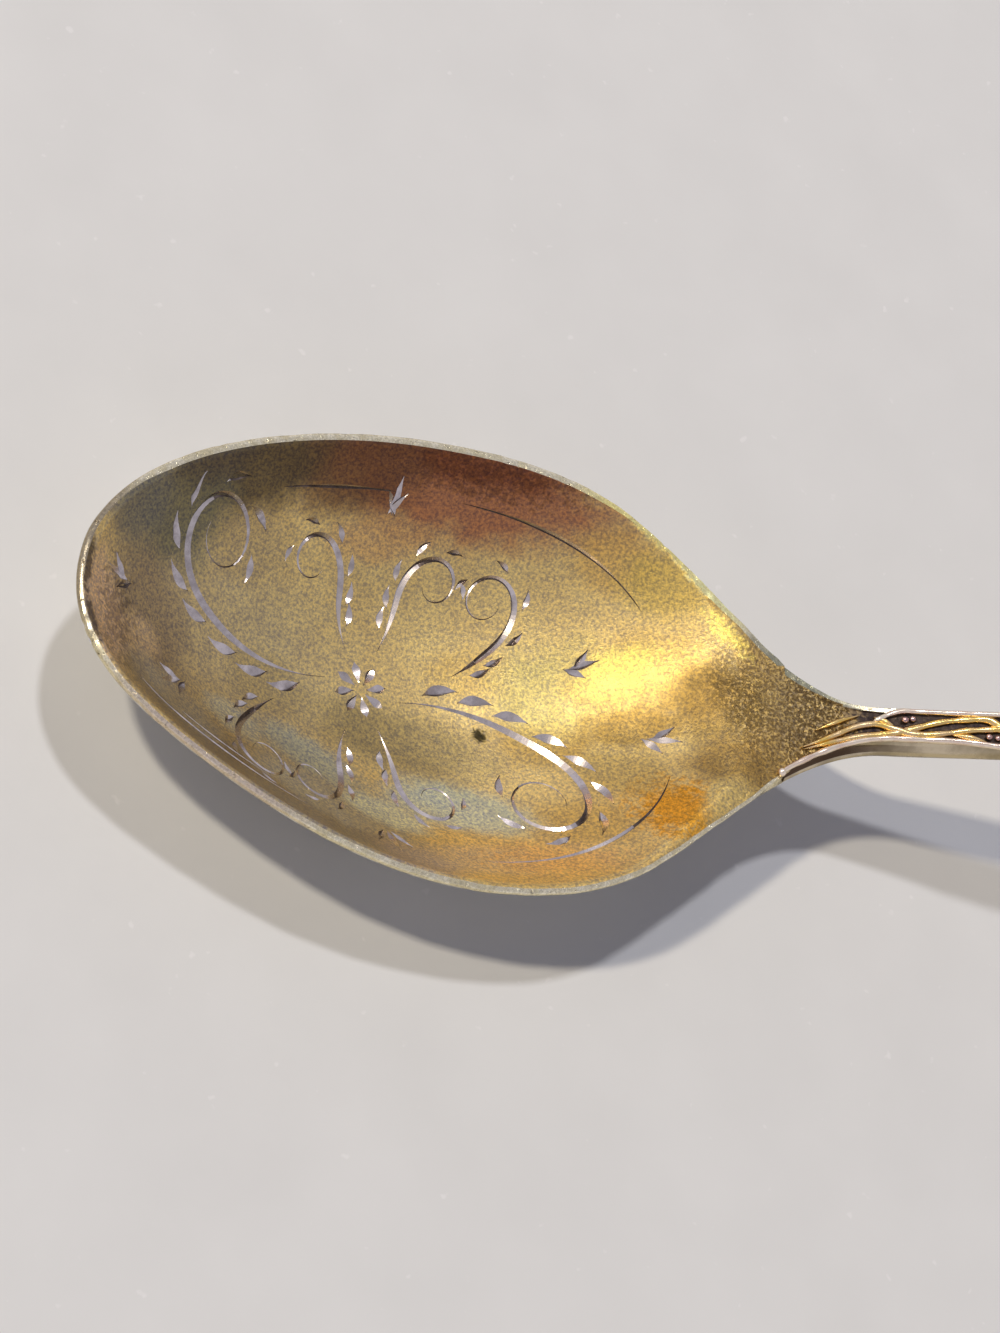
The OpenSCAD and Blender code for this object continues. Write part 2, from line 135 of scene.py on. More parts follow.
@dataclass(frozen=True)
class SpoonForm:
    """The spoon's sizes in millimetres, and the curves that all its pieces share."""

    # The rim: half its length, its width, its egg shape, its rise at the tip and at the neck, and
    # the side of the tip that use has worn down.
    half_l: float = 23.0
    bowl_w: float = 29.8
    egg_share: float = 0.174
    full_share: float = 0.037
    tip_rise: float = 0.25
    neck_rise: float = 1.65
    wear_share: float = 0.083
    wear_angle: float = 43.0
    wear_spread: float = 28.6
    # The hollow and the underside: their depths below the rim and the curve of both.
    depth: float = 7.3
    outer_depth: float = 8.3
    power: float = 2.4
    wall: float = 0.85
    # The land round the hollow, and the lip between them, which softens over a fan at the neck.
    rim_w: float = 0.6
    rim_t: float = 0.45
    hollow_reach: float = 1.8
    near_land: float = 0.2
    near_land_x: float = 14.0
    lip: float = 0.06
    neck_lip: float = 1.5
    near_fan: float = 24.0
    far_fan: float = 40.0
    # The shoulder plate, the joint with the stem and the lap that braces it.
    shoulder_x: float = 17.0
    plate_x: float = 12.0
    plate_lead: float = 9.0
    plate_t: float = 1.2
    joint_x: float = 27.0
    lap_x: float = 14.0
    lap_t: float = 0.4
    # The neck and the stem, with the places and heights of its bend and its arch.
    neck_x: float = 34.5
    neck_t: float = 2.5
    taper: float = 11.5
    stem_w: float = 3.2
    stem_t: float = 1.8
    root_w: float = 4.4
    bevel: float = 0.2
    bend_x: float = 36.0
    bend_rise: float = 4.6
    bend_slope: float = 0.41
    arch_x: float = 64.0
    arch_rise: float = 12.4
    # The terminal: where it starts, where it is widest and where it ends.
    terminal_x: float = 88.0
    belly_x: float = 106.5
    end_x: float = 117.0
    end_rise: float = -1.6
    end_slope: float = -0.3
    terminal_w: float = 13.0
    terminal_t: float = 1.4
    # How the spoon lies on the table: its turn about Y and the way to the middle of its rim.
    tilt: float = math.radians(2.62527)
    shift: tuple[float, float, float] = (-46.9025, -0.0099, 8.35089)

    def rest(self, x: float, y: float, z: float) -> Vector:
        """Returns where a point of the rim's frame lies over the table, in metres."""
        c, s = math.cos(self.tilt), math.sin(self.tilt)
        return MM * Vector((x * c + z * s + self.shift[0], y + self.shift[1],
                            z * c - x * s + self.shift[2]))

    def on_face(self, x: float, y: float, up: float) -> Vector:
        """Returns where a point at a height over the top face lies over the table, in metres."""
        return self.rest(x, y, self.face(x) + up)

    def face(self, x: float) -> float:
        """Returns the height of the spoon's top face at x: rim, bend, arch and fall."""
        if x < 0:
            return self.tip_rise * (x / self.half_l) ** 2
        if x < self.half_l:
            return self.neck_rise * ease(x / self.half_l)
        bend, arch = (self.bend_rise, self.bend_slope), (self.arch_rise, 0.0)
        if x < self.bend_x:
            return span(x, self.half_l, self.bend_x, (self.neck_rise, 0.0), bend)
        if x < self.arch_x:
            return span(x, self.bend_x, self.arch_x, bend, arch)
        return span(x, self.arch_x, self.end_x, arch, (self.end_rise, self.end_slope))

    def egg(self, turn: float, inset: float = 0.0) -> Plan:
        """Follows the rim's egg shape.

        Args:
            turn: Angle from the tip, in radians.
            inset: Distance inside the rim's outer edge.

        Returns:
            The place in plan.
        """
        c, s = math.cos(turn), math.sin(turn)
        worn = 0.0
        if s < 0:
            off = (360 - math.degrees(turn) % 360 - self.wear_angle) / self.wear_spread
            worn = self.wear_share * math.exp(-off * off)
        swell = 1 - self.egg_share * c + 2 * self.full_share * c * c
        return (-(self.half_l - inset) * c, (self.bowl_w / 2 - inset) * s * swell * (1 - worn))

    def hollow(self, turn: float) -> Plan:
        """Returns the inner edge of the land, which is wider on the near side of the neck."""
        x, y = self.egg(turn, self.rim_w)
        x *= 1 + self.hollow_reach / self.half_l * max(-math.cos(turn), 0.0) ** 3
        if y < 0:
            y *= 1 - self.near_land * ease((x - self.near_land_x) / 9)
        return (x, y)

    def shoulder_turn(self) -> float:
        """Returns the angle from the tip at which the rim turns into the shoulder."""
        return math.acos(-self.shoulder_x / self.half_l)

    def half(self, x: float) -> float:
        """Returns the half-width of the spoon's face at x, from the shoulders to the handle's end."""
        if x < self.neck_x:
            turn = self.shoulder_turn()
            before, after = self.egg(turn - 0.02), self.egg(turn + 0.02)
            slope = (after[1] - before[1]) / (after[0] - before[0])
            return span(x, self.shoulder_x, self.neck_x, (self.egg(turn)[1], slope),
                        (self.stem_w / 2, 0.0))
        for x0, x1, w0, w1 in ((self.neck_x, self.terminal_x, self.stem_w, self.root_w),
                               (self.terminal_x, self.belly_x, self.root_w, self.terminal_w)):
            if x < x1:
                return (w0 + (w1 - w0) * ease((x - x0) / (x1 - x0))) / 2
        share = min((x - self.belly_x) / (self.end_x - self.belly_x), 1.0)
        return self.terminal_w / 2 * math.sqrt(1 - share * share)

    def rim_line(self, x: float, y: float) -> float:
        """Returns how far the rubbed finish of the rim reaches in over the land."""
        if y > 0:
            return 0.46 * (1 - 0.45 * ease((-17 - x) / 4)) + 0.08 * ease((x - 10) / 8)
        return 0.2 + 0.06 * ease((x + 8) / 10)

    def thick(self, x: float) -> float:
        """Returns the thickness of the handle at x."""
        if x < self.neck_x:
            return self.neck_t
        neck = 1 - ease((x - self.neck_x) / self.taper)
        far = ease((x - self.arch_x) / (self.terminal_x - self.arch_x))
        return self.stem_t + (self.neck_t - self.stem_t) * neck + (self.terminal_t - self.stem_t) * far


FORM = SpoonForm()


class RoundTable:
    """Distances from the middle of the bowl to a closed outline, looked up by direction."""

    STEPS = 1440

    def __init__(self, outline: Callable[[float], Plan]) -> None:
        """Walks round an outline and stores its distance for each direction.

        Args:
            outline: Gives a place in plan for an angle from the tip.
        """
        places = [outline(math.tau * i / self.STEPS) for i in range(self.STEPS + 1)]
        turns = [self.turn(x, y) for x, y in places]
        turns[-1] = math.tau
        turns[0] = 0.0
        far = [math.hypot(x, y) for x, y in places]
        self.table: list[float] = []
        k = 0
        for i in range(self.STEPS + 1):
            want = math.tau * i / self.STEPS
            while k < self.STEPS - 1 and turns[k + 1] < want:
                k += 1
            t = (want - turns[k]) / max(turns[k + 1] - turns[k], 1e-9)
            self.table.append(far[k] + (far[k + 1] - far[k]) * min(max(t, 0.0), 1.0))

    @staticmethod
    def turn(x: float, y: float) -> float:
        """Returns the angle of a place, from the tip round by the far side."""
        return math.atan2(y, -x) % math.tau

    def at(self, x: float, y: float) -> float:
        """Returns the outline's distance in the direction of a place."""
        spot = self.turn(x, y) / math.tau * self.STEPS
        i = min(int(spot), self.STEPS - 1)
        return self.table[i] + (self.table[i + 1] - self.table[i]) * (spot - i)


HOLLOW = RoundTable(FORM.hollow)
EGG = RoundTable(FORM.egg)


def bowl_top(x: float, y: float) -> float:
    """Returns the height of the gilded hollow, or of the land outside it, at a place in plan."""
    s = math.hypot(x, y) / HOLLOW.at(x, y)
    rim = FORM.face(x / s) if s > 1e-6 else 0.0
    dish = rim * s * s - FORM.depth * (1 - s ** FORM.power)
    fan = math.radians(FORM.near_fan if y < 0 else FORM.far_fan)
    soft = ease(1 - abs(math.atan2(y, x)) / fan) if x > 0 else 0.0
    return lower(dish, FORM.face(x), FORM.lip + FORM.neck_lip * soft)


def bowl_under(x: float, y: float) -> float:
    """Returns the height of the bowl's underside, which runs into the shoulder plate."""
    s = math.hypot(x, y) / EGG.at(x, y)
    rim = FORM.face(x / s) if s > 1e-6 else 0.0
    dish = (rim - FORM.rim_t) * s * s - FORM.outer_depth * (1 - s ** FORM.power)
    neck = ease((x - FORM.plate_x) / FORM.plate_lead)
    plate = FORM.face(x) - FORM.rim_t - (FORM.plate_t - FORM.rim_t) * neck
    under = lower(dish, plate, 0.04 + 0.8 * neck)
    if neck == 0:
        return under
    lining = bowl_top(x, y) - FORM.wall * neck - FORM.rim_t * (1 - neck)
    return lower(under, lining, 0.04 + 0.4 * neck)


@dataclass(frozen=True)
class Waist:
    """The cove under the border, and the flange below it, along both sides of the neck."""

    start: float = 24.0
    lead: float = 3.0
    near_end: float = 37.5
    near_fade: float = 6.0
    far_end: float = 30.0
    far_fade: float = 5.0
    inset: float = 0.42
    flange_down: float = 1.05
    cove: float = 0.42
    cove_down: float = 0.42
    cove_spread: float = 0.24

    def at(self, x: float, deep: float, side: float) -> float:
        """Returns how far the neck's side lies inside its outline.

        Args:
            x: Place along the spoon.
            deep: Depth below the face.
            side: Positive on the far side and negative on the near one, whose waist is longer.

        Returns:
            The distance.
        """
        near = side < 0
        end, fade = (self.near_end, self.near_fade) if near else (self.far_end, self.far_fade)
        waist = ease((x - self.start) / self.lead) * (1 - ease((x - end) / fade))
        cove = self.cove * math.exp(-((deep - self.cove_down) / self.cove_spread) ** 2)
        cove *= 1 - ease((x - self.far_end) / self.far_fade)
        return waist * (self.inset * (1 - ease(deep / self.flange_down)) + cove)


WAIST = Waist()


def face_edge(x: float, side: float) -> float:
    """Returns the half-width of the flat face at x on one side, inside its bevel and its waist."""
    w = FORM.half(x)
    return w - min(FORM.bevel, w / 2) - WAIST.at(x, 0.0, side)


def steep(surface: Surface, x: float, y: float, step: float = 0.02) -> Vector:
    """Returns the upward unit normal of a surface of heights at a place in plan."""
    return Vector((surface(x - step, y) - surface(x + step, y),
                   surface(x, y - step) - surface(x, y + step), 2 * step)).normalized()


def sheet(along: int, round_: int, place: Callable[[int, int], Vector],
          into: bmesh.types.BMesh | None = None,
          slot: Callable[[int, int], int] | None = None) -> bmesh.types.BMesh:
    """Lays a grid over a surface and welds its seams and poles.

    Args:
        along: Number of steps along the surface.
        round_: Number of steps across or round it.
        place: Gives the point, in metres, at a step along and a step round.
        into: Mesh to add the surface to, or none for a new one.
        slot: Gives the finish of the face at a step along and a step round, or none for the first.

    Returns:
        The mesh, with its normals outward where the surface is closed.
    """
    bm = bmesh.new()
    bmesh.ops.create_grid(bm, x_segments=along, y_segments=round_, size=0.5)
    for face in bm.faces if slot else ():
        spot = face.calc_center_median()
        face.material_index = slot(int((spot.x + 0.5) * along), int((spot.y + 0.5) * round_))
    for v in bm.verts:
        v.co = place(round((v.co.x + 0.5) * along), round((v.co.y + 0.5) * round_))
    bmesh.ops.remove_doubles(bm, verts=bm.verts, dist=WELD)
    bmesh.ops.dissolve_degenerate(bm, edges=bm.edges, dist=WELD)
    bmesh.ops.recalc_face_normals(bm, faces=bm.faces)
    if into is None:
        return bm
    part = bpy.data.meshes.new("part")
    bm.to_mesh(part)
    bm.free()
    into.from_mesh(part)
    bpy.data.meshes.remove(part)
    return into


def piece(name: str, bm: bmesh.types.BMesh, *finishes: bpy.types.Material,
          sharp: float = 40.0) -> bpy.types.Object:
    """Makes an object of a mesh, smooth but for its sharp edges.

    Args:
        name: Name of the piece.
        bm: Its mesh, which is freed.
        finishes: Its materials, in the order of the faces' indices.
        sharp: Angle in degrees from which an edge is sharp.

    Returns:
        The new object, linked to the scene.
    """
    mesh = bpy.data.meshes.new(name)
    for face in bm.faces:
        face.smooth = True
    bm.to_mesh(mesh)
    bm.free()
    mesh.set_sharp_from_angle(angle=math.radians(sharp))
    for finish in finishes:
        mesh.materials.append(finish)
    made = bpy.data.objects.new(name, mesh)
    bpy.context.scene.collection.objects.link(made)
    return made


def ball(into: bmesh.types.BMesh, at: Vector, radius: float, squash: Sequence[float] = (1, 1, 1),
         steps: tuple[int, int] = (16, 10)) -> None:
    """Adds a ball to a mesh.

    Args:
        into: Mesh to add it to.
        at: Its middle, in metres.
        radius: Its radius, in millimetres.
        squash: Factor on each of its axes.
        steps: Number of steps round it and from pole to pole.
    """
    bmesh.ops.create_uvsphere(into, u_segments=steps[0], v_segments=steps[1], radius=radius * MM,
                              matrix=Matrix.Translation(at) @ Matrix.Diagonal((*squash, 1)))


class Cut(Enum):
    """What a Boolean does with its tool."""

    AWAY = "DIFFERENCE"
    JOIN = "UNION"


def combine(base: bpy.types.Object, tool: bpy.types.Object, how: Cut) -> None:
    """Cuts a closed tool away from a closed piece, or joins the two, and removes the tool."""
    change = base.modifiers.new("combine", "BOOLEAN")
    change.operation, change.solver, change.object = how.value, "MANIFOLD", tool
    graph = bpy.context.evaluated_depsgraph_get()
    mesh = bpy.data.meshes.new_from_object(base.evaluated_get(graph))
    base.modifiers.remove(change)
    old, base.data = base.data, mesh
    mesh.name = base.name
    bpy.data.meshes.remove(old)
    bpy.data.objects.remove(tool)


def linear(colour: str, strength: float = 1.0) -> tuple[float, float, float, float]:
    """Turns an sRGB hex colour into linear red, green, blue and alpha.

    Args:
        colour: Six hex digits after a hash sign.
        strength: Factor on the colour.

    Returns:
        The linear colour.
    """
    parts = [int(colour[i:i + 2], 16) / 255 for i in (1, 3, 5)]
    return tuple(strength * (c / 12.92 if c <= 0.04045 else ((c + 0.055) / 1.055) ** 2.4)
                 for c in parts) + (1.0,)


def per_mm(size: float) -> float:
    """Returns the scale of a pattern on Object coordinates whose features are size mm across."""
    return 1 / (size * MM)


def add(tree: bpy.types.NodeTree, kind: str, inputs: dict[Any, Any] | None = None,
        **settings: Any) -> bpy.types.Node:
    """Adds a node with its settings and links.

    Args:
        tree: Node tree of the material or world.
        kind: Type of the node.
        inputs: A value, or an output socket to link, for each input by name or index.
        settings: Values of the node's own properties.

    Returns:
        The new node.
    """
    node = tree.nodes.new(kind)
    for key, value in settings.items():
        setattr(node, key, value)
    for key, value in (inputs or {}).items():
        if isinstance(value, bpy.types.NodeSocket):
            tree.links.new(value, node.inputs[key])
        else:
            node.inputs[key].default_value = value
    return node


def cleared(owner: bpy.types.Material | bpy.types.World) -> bpy.types.NodeTree:
    """Returns the node tree of a new material or world, emptied."""
    owner.use_nodes = True
    owner.node_tree.nodes.clear()
    return owner.node_tree


@dataclass(frozen=True)
class ColourPatch:
    """A soft-edged patch of another colour on a finish, used for stains and for painted highlights,
    reflections and shade.

    Attributes:
        x: Place of its middle along the spoon.
        y: Place of its middle across the spoon.
        along: Half-size in its own direction.
        across: Half-size across that direction.
        colour: Its colour.
        strength: How much it covers at its middle.
        turn: Its direction, in degrees from X.
        ragged: How far noise carries its edge in and out.
        cells: How far a fine net of noise breaks it up.
    """

    x: float
    y: float
    along: float
    across: float
    colour: str
    strength: float = 1.0
    turn: float = 0.0
    ragged: float = 0.3
    cells: float = 0.0

    def lay(self, tree: bpy.types.NodeTree, where: Socket, colour: Socket) -> Socket:
        """Lays the patch over a colour.

        Args:
            tree: Node tree of the material.
            where: Object coordinates.
            colour: Colour under the patch.

        Returns:
            The colour with the patch laid over it.
        """
        local = add(tree, "ShaderNodeMapping",
                    {"Vector": where, "Location": FORM.rest(self.x, self.y, 0),
                     "Rotation": (0, 0, math.radians(self.turn)),
                     "Scale": (MM * self.along, MM * self.across, 1.0)}, vector_type="TEXTURE")
        centre = add(tree, "ShaderNodeTexGradient", {"Vector": local.outputs[0]},
                     gradient_type="SPHERICAL").outputs[1]
        wave = add(tree, "ShaderNodeTexNoise",
                   {"Vector": where, "Scale": per_mm(min(self.along, self.across) / 2),
                    "Detail": 6.0, "Roughness": 0.65}).outputs[0]
        edge = add(tree, "ShaderNodeMath", {0: wave, 1: 2 * self.ragged, 2: centre},
                   operation="MULTIPLY_ADD").outputs[0]
        if self.cells:
            net = add(tree, "ShaderNodeTexNoise", {"Vector": where, "Scale": per_mm(0.45),
                                                   "Detail": 3.0, "Distortion": 1.0}).outputs[0]
            lift = add(tree, "ShaderNodeMapRange", {0: net, 1: 0.36, 2: 0.64, 3: -self.cells,
                                                    4: self.cells / 2}).outputs[0]
            edge = add(tree, "ShaderNodeMath", {0: edge, 1: lift}, operation="ADD").outputs[0]
        amount = add(tree, "ShaderNodeMapRange",
                     {0: edge, 1: self.ragged + 0.05, 2: self.ragged + 0.65, 4: self.strength},
                     interpolation_type="SMOOTHSTEP").outputs[0]
        inside = add(tree, "ShaderNodeMapRange", {0: centre, 1: 0.0, 2: 0.2}).outputs[0]
        share = add(tree, "ShaderNodeMath", {0: amount, 1: inside}, operation="MULTIPLY").outputs[0]
        return add(tree, "ShaderNodeMix", {0: share, 6: colour, 7: linear(self.colour)},
                   data_type="RGBA").outputs[2]


@dataclass(frozen=True)
class MetalFinish:
    """A metal surface, with sizes and depths in millimetres.

    Attributes:
        name: Name of the material.
        tone: Its first colour.
        tone_2: The colour that is mottled with it.
        rough_low: Roughness of the glossiest places.
        rough_high: Roughness of the dullest places.
        mottle: Size of the patches of colour and gloss.
        grain: Size of the fine grain.
        grain_depth: Height of the grain.
        pit: Size of the pits.
        pit_level: How far the pits spread, or 0 for none.
        pit_colour: Colour in the pits.
        lump: Size of the lumps.
        lump_depth: Height of the lumps, or 0 for none.
        coarse_from: Where the pits and lumps start along the spoon.
        coarse_to: Where they are at their full depth.
        speckle: How strongly the grain is flecked.
        dull: Tint of the dark flecks.
        bright: Tint of the light flecks.
        scratch_depth: Depth of the hairline scratches, or 0 for none.
        colour_patches: The patches of colour on it, stains and painted light alike, the first at the
            bottom.
    """

    name: str
    tone: str
    tone_2: str
    rough_low: float
    rough_high: float
    mottle: float = 2.0
    grain: float = 0.12
    grain_depth: float = 0.01
    pit: float = 0.4
    pit_level: float = 0.0
    pit_colour: str = "#3A2E1C"
    lump: float = 0.5
    lump_depth: float = 0.0
    coarse_from: float = -200.0
    coarse_to: float = -199.0
    speckle: float = 0.0
    dull: str = "#FFFFFF"
    bright: str = "#FFFFFF"
    scratch_depth: float = 0.0
    colour_patches: tuple[ColourPatch, ...] = ()

    def make(self) -> bpy.types.Material:
        """Builds the material.

        Returns:
            The material, on Object coordinates.
        """
        made = bpy.data.materials.new(self.name)
        tree = cleared(made)
        where = add(tree, "ShaderNodeTexCoord").outputs["Object"]
        mottle = add(tree, "ShaderNodeTexNoise", {"Vector": where, "Scale": per_mm(self.mottle),
                                                  "Detail": 5.0, "Roughness": 0.6}).outputs[0]
        spread = add(tree, "ShaderNodeMapRange", {0: mottle, 1: MOST[0], 2: MOST[1]}).outputs[0]
        colour = add(tree, "ShaderNodeMix", {0: spread, 6: linear(self.tone), 7: linear(self.tone_2)},
                     data_type="RGBA").outputs[2]
        for colour_patch in self.colour_patches:
            colour = colour_patch.lay(tree, where, colour)
        fine = add(tree, "ShaderNodeTexNoise", {"Vector": where, "Scale": per_mm(self.grain),
                                                "Detail": 4.0, "Roughness": 0.7}).outputs[0]
        if self.speckle:
            share = add(tree, "ShaderNodeMapRange", {0: fine, 1: MOST[0], 2: MOST[1]}).outputs[0]
            fleck = add(tree, "ShaderNodeMix", {0: share, 6: linear(self.dull, 1 - self.speckle),
                                                7: linear(self.bright, 1 + self.speckle)},
                        data_type="RGBA").outputs[2]
            colour = add(tree, "ShaderNodeVectorMath", {0: colour, 1: fleck},
                         operation="MULTIPLY").outputs[0]
        height = add(tree, "ShaderNodeMapRange", {0: fine, 4: self.grain_depth}).outputs[0]
        if self.lump_depth or self.pit_level:
            colour, height = self.coarsened(tree, where, colour, height, mottle)
        if self.scratch_depth:
            drawn_out = add(tree, "ShaderNodeMapping", {"Vector": where, "Rotation": (0, 0, 0.5),
                                                        "Scale": (0.05, 1, 1)}).outputs[0]
            lines = add(tree, "ShaderNodeTexNoise", {"Vector": drawn_out, "Scale": per_mm(0.15),
                                                     "Detail": 2.0}).outputs[0]
            thin = add(tree, "ShaderNodeMapRange", {0: lines, 1: 0.62, 2: 0.7}).outputs[0]
            height = add(tree, "ShaderNodeMath", {0: thin, 1: -self.scratch_depth, 2: height},
                         operation="MULTIPLY_ADD").outputs[0]
        gloss = add(tree, "ShaderNodeMapRange", {0: mottle, 1: 0.35, 2: 0.65, 3: self.rough_low,
                                                 4: self.rough_high}).outputs[0]
        bump = add(tree, "ShaderNodeBump", {"Height": height, "Distance": MM, "Strength": 1.0})
        metal = add(tree, "ShaderNodeBsdfPrincipled", {"Base Color": colour, "Metallic": 1.0,
                                                       "Roughness": gloss, "Normal": bump.outputs[0]})
        add(tree, "ShaderNodeOutputMaterial", {"Surface": metal.outputs[0]})
        return made

    def coarsened(self, tree: bpy.types.NodeTree, where: Socket, colour: Socket, height: Socket,
                  drift: Socket) -> tuple[Socket, Socket]:
        """Lays pits and lumps over the part of the surface past coarse_from.

        Args:
            tree: Node tree of the material.
            where: Object coordinates.
            colour: Colour so far.
            height: Height so far, in millimetres.
            drift: Slow noise that breaks up the edge of the coarse part.

        Returns:
            The colour and the height with the pits and lumps.
        """
        shake = 6 * MM
        start, end = (MM * (x + FORM.shift[0]) + shake / 2 for x in (self.coarse_from, self.coarse_to))
        along = add(tree, "ShaderNodeSeparateXYZ", {0: where}).outputs[0]
        shaken = add(tree, "ShaderNodeMath", {0: drift, 1: shake, 2: along},
                     operation="MULTIPLY_ADD").outputs[0]
        zone = add(tree, "ShaderNodeMapRange", {0: shaken, 1: start, 2: end},
                   interpolation_type="SMOOTHSTEP").outputs[0]
        if self.lump_depth:
            lumps = add(tree, "ShaderNodeTexNoise", {"Vector": where, "Scale": per_mm(self.lump),
                                                     "Detail": 3.0, "Distortion": 0.6}).outputs[0]
            part = add(tree, "ShaderNodeMath", {0: lumps, 1: zone}, operation="MULTIPLY").outputs[0]
            height = add(tree, "ShaderNodeMath", {0: part, 1: self.lump_depth, 2: height},
                         operation="MULTIPLY_ADD").outputs[0]
        if self.pit_level:
            pits = add(tree, "ShaderNodeTexNoise", {"Vector": where, "Scale": per_mm(self.pit),
                                                    "Detail": 4.0, "Roughness": 0.7}).outputs[0]
            deep = add(tree, "ShaderNodeMapRange", {0: pits, 1: self.pit_level + 0.08,
                                                    2: self.pit_level - 0.08}).outputs[0]
            part = add(tree, "ShaderNodeMath", {0: deep, 1: zone}, operation="MULTIPLY").outputs[0]
            colour = add(tree, "ShaderNodeMix", {0: part, 6: colour, 7: linear(self.pit_colour)},
                         data_type="RGBA").outputs[2]
            height = add(tree, "ShaderNodeMath", {0: part, 1: -3 * self.grain_depth, 2: height},
                         operation="MULTIPLY_ADD").outputs[0]
        return colour, height


class ShellFinish(IntEnum):
    """The finishes of the shell's faces, in the order of its materials."""

    RIM = 0
    LAND = 1
    BACK = 2


@dataclass
class BowlShell:
    """The struck silver bowl under its gilding, with its land, its rim and its shoulders.

    Attributes:
        egg_steps: Steps of the outline from the tip to a shoulder.
        shoulder_steps: Steps along a shoulder.
        end_steps: Steps across the end face at the joint.
        under_steps: Steps out along the underside.
        land_steps: Steps in over the land.
        rim_rows: How many of these are the rubbed rim.
        inner_steps: Steps in over the seat under the gilding.
        under_crowd: How far the steps of the underside crowd towards the edge.
        crown: How far the land is domed.
        gild_room: Depth of the seat under the hollow's surface.
        seat_gap: Least distance from the gilding.
        wear: How far the rim is worn in everywhere.
        wear_end: Where the wear ends at the shoulders.
        edge: Inset and depth of each row of the rounded edge, from below.
    """

    egg_steps: int = 96
    shoulder_steps: int = 40
    end_steps: int = 36
    under_steps: int = 30
    land_steps: int = 12
    rim_rows: int = 3
    inner_steps: int = 10
    under_crowd: float = 0.75
    crown: float = 0.05
    gild_room: float = 0.33
    seat_gap: float = 0.012
    wear: float = 0.02
    wear_end: float = 24.0
    edge: tuple[Plan, ...] = ((0.12, -0.45), (0.04, -0.42), (0.0, -0.33), (-0.01, -0.22),
                              (0.0, -0.12), (0.04, -0.04), (0.11, 0.0))

    def outline(self) -> list[Plan]:
        """Returns the places round the bowl's outer edge, from the tip round by the far side."""
        stop = FORM.shoulder_turn()
        far = [FORM.egg(stop * i / self.egg_steps) for i in range(self.egg_steps)]
        reach = FORM.joint_x - FORM.shoulder_x
        xs = [FORM.shoulder_x + reach * i / self.shoulder_steps for i in range(self.shoulder_steps)]
        far += [(x, FORM.half(x)) for x in xs]
        w = FORM.half(FORM.joint_x)
        end = [(FORM.joint_x, w * (1 - 2 * i / self.end_steps)) for i in range(self.end_steps)]
        near = [(x, -FORM.half(x)) for x in [FORM.joint_x] + xs[:0:-1]]
        near += [FORM.egg(math.tau - stop * i / self.egg_steps)
                 for i in range(self.egg_steps, 0, -1)]
        return far + end + near

    def worn(self, x: float, y: float) -> Plan:
        """Returns the dent of the rim inward and down at a place, from wear and small nicks."""
        free = 1 - ease((x - self.wear_end) / 2.5)
        dent = 0.045 * rough(x, y, 2.2, 3.1) + 0.02 * rough(x, y, 0.6, 8.0)
        nick = max(rough(x, y, 0.45, 5.7) - 0.42, 0.0)
        return (free * (self.wear + dent + 0.35 * nick), free * (0.5 * dent + 0.3 * nick))

    @staticmethod
    def soldered(x: float, y: float) -> bool:
        """Tells whether a place of the outline is on the end face, between its corners."""
        return abs(y) < FORM.half(FORM.joint_x) - 1e-6 and x > FORM.joint_x - 1e-6

    def under_place(self, x: float, y: float, share: float) -> Vector:
        """Returns a place of the underside at a share of the way out to a place of the outline."""
        share = ease(share) ** self.under_crowd * (1 - self.edge[0][0] / math.hypot(x, y))
        return FORM.rest(x * share, y * share, bowl_under(x * share, y * share))

    def edge_place(self, x: float, y: float, step: int) -> Vector:
        """Returns a place of the rounded edge.

        Args:
            x: Place of the outline along the spoon.
            y: Place of the outline across it.
            step: Step up the edge.

        Returns:
            The point over the table, in metres.
        """
        r = math.hypot(x, y)
        ux, uy = x / r, y / r
        off, down = self.worn(x, y)
        inset, z = self.edge[step]
        z *= (FORM.face(x) - bowl_under(x * 0.998, y * 0.998)) / FORM.rim_t
        inset = inset + WAIST.at(x, -z, y) + off
        if self.soldered(x, y):
            w = FORM.half(x) - inset
            y, inset = max(min(y, w), -w), 0.0
        z -= down * ease(1 + z / 0.3)
        return FORM.rest(x - ux * inset, y - uy * inset, FORM.face(x) + z)

    def land_place(self, x: float, y: float, step: int) -> Vector:
        """Returns a place of the land, whose first rows are the rubbed rim.

        Args:
            x: Place of the outline along the spoon.
            y: Place of the outline across it.
            step: Step in from the edge.

        Returns:
            The point over the table, in metres.
        """
        off, down = self.worn(x, y)
        inset = self.edge[-1][0]
        if self.soldered(x, y):
            w = FORM.half(x) - inset - WAIST.at(x, 0.0, y)
            y = max(min(y, w), -w)
            outer = math.hypot(x, y)
        else:
            outer = math.hypot(x, y) - inset - off - WAIST.at(x, 0.0, y)
        inside = HOLLOW.at(x, y)
        rim = min(FORM.rim_line(x, y) / max(outer - inside, 0.01), 0.9)
        t = rim * step / self.rim_rows
        if step > self.rim_rows:
            t = rim + (1 - rim) * (step - self.rim_rows) / (self.land_steps - self.rim_rows)
        q = outer + (inside - outer) * t
        r = math.hypot(x, y)
        px, py = x / r * q, y / r * q
        middle = math.sin(math.pi * t)
        crown = self.crown * middle * (1 - ease((x - 26.2) / 0.8))
        z = bowl_top(px, py) + crown - down * (1 - t) + self.pitted(px, py) * middle
        return FORM.rest(px, py, z)

    def seat_place(self, x: float, y: float, share: float) -> Vector:
        """Returns a place of the seat under the gilding at a share of the way out."""
        r, inside = math.hypot(x, y), HOLLOW.at(x, y)
        px, py = x / r * inside * share, y / r * inside * share
        deep = self.gild_room * (1 - share ** 8)
        return FORM.rest(px, py, bowl_top(px, py) - deep - self.seat_gap)

